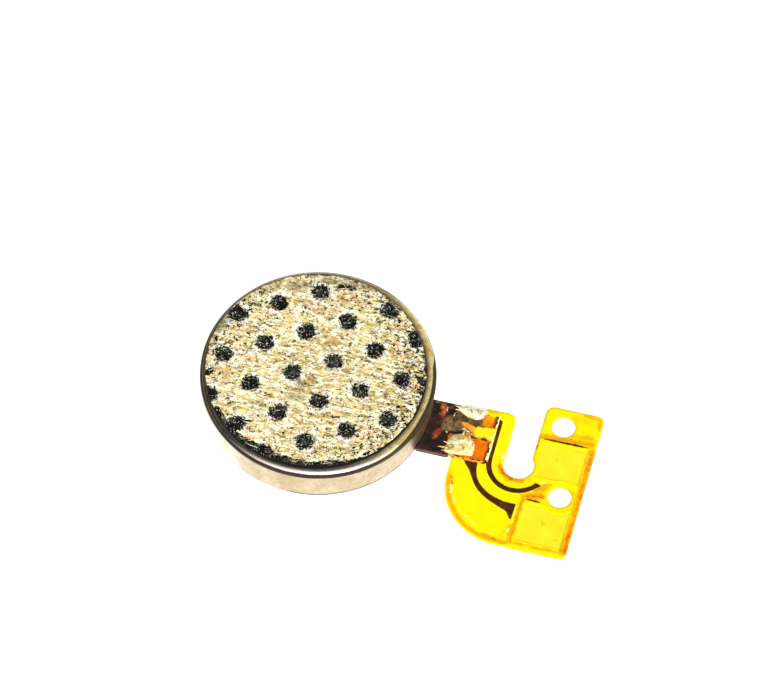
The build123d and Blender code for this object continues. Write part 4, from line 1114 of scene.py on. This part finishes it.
# Rectangles without cover, with how far inside them the cover's edge lies: two brush pads and the two lands.
BARE = ((-1.32, -0.55, 0.80, 1.30, 0.0), (0.55, 1.32, -1.30, -0.80, 0.0), (*NEAR_LAND, LAND_MARGIN),
        (*FAR_LAND, LAND_MARGIN))
tail_bottom = box_mm("tail_flex_film")[0][2]
land_top = box_mm("tail_flex_copper")[1][2]
SPIKE_STEPS, SPIKE_SIDES = 6, 8
FAR_POOL = [
    (5.88, 0.79), (5.95, 0.69), (6.06, 0.61), (6.22, 0.51), (6.45, 0.41), (6.80, 0.38), (7.02, 0.48), (7.10, 0.62),
    (7.11, 0.78), (7.02, 0.86), (6.70, 0.875), (6.30, 0.87), (6.05, 0.86)]
NEAR_POOL = [
    (5.79, -1.36), (5.95, -1.48), (6.30, -1.49), (6.69, -1.42), (7.01, -1.36), (7.05, -1.12), (7.00, -0.80),
    (6.88, -0.57), (6.62, -0.48), (6.42, -0.42), (6.20, -0.47), (5.99, -0.61), (5.86, -0.84), (5.86, -1.06),
    (5.78, -1.20)]
FAR_SPIKES = [                         # from x, y, by dx, dy, with a half width
    (6.05, 0.76, -0.30, 0.06, 0.05), (6.02, 0.66, -0.26, -0.02, 0.04)]
NEAR_SPIKES = [
    (5.95, -1.26, -0.46, -0.02, 0.06), (6.00, -1.05, -0.34, 0.08, 0.05), (6.05, -1.40, -0.36, -0.02, 0.05),
    (6.05, -0.80, -0.28, 0.14, 0.05), (6.42, -0.48, 0.03, 0.32, 0.06), (6.70, -0.55, 0.02, 0.22, 0.05)]


def tail_outline():
    """Round head about the shaft, and the strip out over the tongue, counterclockwise."""
    join = [math.degrees(math.asin(y / TAIL_HEAD_RADIUS)) for y in (TAIL_LOW, TAIL_HIGH)]
    line = arc((0, 0), TAIL_HEAD_RADIUS, join[1], 360 + join[0])
    for y, start in ((TAIL_LOW + TAIL_CORNER, 270), (TAIL_HIGH - TAIL_CORNER, 0)):
        line += arc((tail_end - TAIL_CORNER, y), TAIL_CORNER, start, start + 90)
    return divide(line, 0.06)


def tail_face(plan, edge):
    """Height of the tail's cover, down to the copper where it is bare."""
    z = tail_top - 0.002 - 0.02 * (1 - smooth(edge, -0.005, 0.05))
    z = z + np.array([0.0016 * noise_at(x * 3, y * 3, 4) - 0.0016 for x, y in plan])
    for place in BARE:
        z = np.where(in_rectangle(plan, *place) > 0.002, land_top - 0.012, z)
    return z


TAIL_MARKS = {                         # by colour: stains, with a painted shadow among the olive marks and painted glints
    "olive": [
        # The second olive mark is painted shadow along the far solder pool's lower edge.
        (5.62, -0.15, 6.45, 0.06, 0.30, 1.0), (5.75, 0.30, 7.05, 0.22, 0.13, 0.8),
        (5.60, -0.38, 5.95, -0.30, 0.12, 0.7), (5.55, 0.70, 5.80, 0.86, 0.09, 0.5),
        (4.95, 0.82, 5.15, 0.84, 0.10, 0.8)],
    "amber": [
        (6.45, 0.06, 6.95, -0.20, 0.17, 1.0), (6.60, -0.42, 7.00, -0.34, 0.10, 0.9),
        (6.10, -1.58, 7.55, -1.57, 0.06, 1.2), (7.05, -0.46, 7.62, -0.45, 0.05, 0.7),
        (7.20, 0.04, 7.60, 0.07, 0.05, 0.7), (5.30, 0.80, 5.32, 0.30, 0.07, 0.75)],
    "yellow": [
        (7.745, 0.74, 7.745, -1.46, 0.055, 1.3), (7.12, -0.14, 7.72, -0.16, 0.28, 1.3),
        (7.16, 0.84, 7.70, 0.84, 0.14, 1.3), (6.98, 0.02, 7.20, 0.05, 0.10, 0.9)],
    "red": [
        (5.33, 0.84, 5.33, 0.18, 0.14, 1.0), (5.36, -0.50, 5.30, -0.90, 0.14, 0.9),
        (5.06, -0.20, 5.05, -0.28, 0.08, 0.6), (5.55, -1.50, 5.95, -1.53, 0.06, 0.6)],
    # Painted glints along the tail's end and top edge, and a few small pale spots.
    "pale_glint": [
        (7.690, 0.72, 7.700, 0.22, 0.038, 0.8), (7.70, -0.06, 7.70, -1.40, 0.038, 0.8),
        (6.05, 0.89, 7.08, 0.89, 0.06, 1.4), (5.46, 0.68, 5.50, 0.40, 0.035, 0.9),
        (5.64, -0.50, 5.72, -0.52, 0.045, 1.2), (5.82, 0.38, 5.86, 0.36, 0.035, 1.0),
        (6.40, -0.20, 6.60, -0.24, 0.05, 0.8)]}


def make_tail():
    """The tail's cover and film as one sheet."""
    lines = [offset_loop(tail_outline(), EDGE_INSET)]
    for x0, x1, y0, y1, inset in BARE:
        for move in (inset, inset + 0.01):
            lines.append(rectangle(x0 + move, x1 - move, y0 + move, y1 - move))
    points, faces, _ = film(tail_outline(), [circle((0, 0), TAIL_HEAD_BORE, 0.08)], lines, 0.06, 31, tail_face,
                            level(tail_bottom + 0.001))
    numbers = {name: capsules(points, marks, 0.0, 1.6, 0.13) for name, marks in TAIL_MARKS.items()}
    tail = make_piece("tail_flex_cover", points, faces, paints["tail_coverlay"], numbers, sharp=FLEX_SHARP)
    belongs(tail, "motor", "tail_coverlay", "tail_flex_coverlay", "tail_flex_film")


def make_solder(name, node, corners, height, spikes, seed):
    """One lumpy pool of solder with a wandering outline and a few sharp tips drawn out of it."""
    outline = curve_through(corners + corners[:1], 0.03)[:-1]
    thick = distance(np.mean(corners, axis=0, keepdims=True), outline)[0]

    def top(plan, edge):
        dome = np.sqrt(np.clip(edge / (thick * 0.9), 0, 1))
        lumps = [waves(x, y, ((0.55, 2.2, 2.2, seed), (0.22, 5, 5, seed + 3), (0.05, 12, 12, seed + 5)))
                 for x, y in plan]
        return land_top - 0.002 + height * dome * np.clip(0.78 + np.array(lumps), 0.15, 1.0)

    points, faces, _ = film(outline, [], [], 0.035, seed, top, level(land_top - 0.015))
    points = [tuple(p) for p in points]
    ways = [k / SPIKE_STEPS for k in range(SPIKE_STEPS + 1)]
    for x, y, dx, dy, width in spikes:
        along = Vector((dx, dy, 0)).normalized()
        tube(points, faces, [Vector((x + dx * t, y + dy * t, land_top + 0.045 * (1 - t) + 0.030)) for t in ways],
             [Vector((-along.y, along.x, 0))] * len(ways), [width * (1 - t) ** 0.8 + 0.004 for t in ways],
             SPIKE_SIDES, flat=0.6)
    belongs(make_piece(name, points, faces, paints["solder"], sharp=180), "motor", "solder", node)


make_tail()
make_solder("solder_pool_far", "solder_joint_far", FAR_POOL, 0.20, FAR_SPIKES, 41)
make_solder("solder_pool_near", "solder_joint_near", NEAR_POOL, 0.24, NEAR_SPIKES, 42)


# ------------------------------------------------------------------ floor, lights and camera
CAMERA_TURN, CAMERA_HEIGHT = math.radians(14.3), math.radians(59.9)    # round from -Y, and above the horizon
CAMERA_AWAY, FRAME_WIDTH, ASIDE, UPWARD = 1.2, 0.032095, 0.002601, 0.002141    # in metres
KEY_POWER, KEY_ANGLE, KEY_ASIDE, KEY_HEIGHT = 1.30, 30, 0.16, 0.94
FLOOR_HALF, FLOOR_Z, FLOOR_GLOW = 900.0, -0.02, 0.68
RIGHT = Vector((math.cos(CAMERA_TURN), math.sin(CAMERA_TURN), 0))
FRONT = Vector((math.sin(CAMERA_TURN), -math.cos(CAMERA_TURN), 0))     # level, from the motor towards the camera
ABOVE = Vector((0, 0, 1))


def make_floor():
    points = [(x * FLOOR_HALF, y * FLOOR_HALF, FLOOR_Z) for x, y in ((-1, -1), (1, -1), (1, 1), (-1, 1))]
    p = Paint("floor_white", Roughness=0.9, Specular_IOR_Level=0.0, Emission_Strength=FLOOR_GLOW,
              Emission_Color=(1, 1, 1, 1))
    p.set("Base Color", p.mix(p.grain(0.02), (0.60, 0.60, 0.60), (0.64, 0.64, 0.64)))
    make_piece("floor", points, [(0, 1, 2, 3)], p.material)


def make_sky():
    """A soft studio: bright in front, less so to the left of it, dim to the right, and dark behind."""
    world = bpy.data.worlds.new("studio")
    bpy.context.scene.world = world
    world.use_nodes = True
    sky = Nodes(world.node_tree)
    where = sky.node("TexCoord").outputs["Generated"]

    def towards(direction, low, high, dim, bright):
        dot = sky.node("VectorMath", {0: where, 1: direction}, operation="DOT_PRODUCT").outputs["Value"]
        return sky.step(dot, low, high, dim, bright)

    shaded = sky.times(towards(FRONT, 0.22, 0.40, 0.11, 2.65), towards(RIGHT, -0.80, -0.48, 0.25, 1.0))
    background = sky.tree.nodes["Background"]
    background.inputs["Color"].default_value = (1.0, 0.985, 0.96, 1)
    sky.tree.links.new(sky.plus(shaded, towards(RIGHT, 0.08, 0.55, 0.0, 0.80)), background.inputs["Strength"])


def aim(data, back):
    """Puts a light or a camera in the scene, looking the other way from back."""
    made = bpy.data.objects.new(data.name, data)
    made.rotation_euler = back.to_track_quat("Z", "Y").to_euler()
    bpy.context.scene.collection.objects.link(made)
    return made


def make_key():
    """A soft key from above in front, a little to the right, for glints on the rim, fibres and solder."""
    light = bpy.data.lights.new("key", "SUN")
    light.energy, light.angle = KEY_POWER, math.radians(KEY_ANGLE)
    aim(light, FRONT + RIGHT * KEY_ASIDE + ABOVE * KEY_HEIGHT)


def make_camera():
    up = ABOVE * math.cos(CAMERA_HEIGHT) - FRONT * math.sin(CAMERA_HEIGHT)
    back = FRONT * math.cos(CAMERA_HEIGHT) + ABOVE * math.sin(CAMERA_HEIGHT)
    data = bpy.data.cameras.new("camera")
    data.sensor_width = 36.0
    data.lens = data.sensor_width * CAMERA_AWAY / FRAME_WIDTH
    data.clip_start = 0.05
    camera = aim(data, back)
    camera.location = RIGHT * ASIDE + up * UPWARD + back * CAMERA_AWAY
    bpy.context.scene.camera = camera


make_floor()
make_sky()
make_key()
make_camera()
bpy.context.scene.view_settings.view_transform = "Standard"
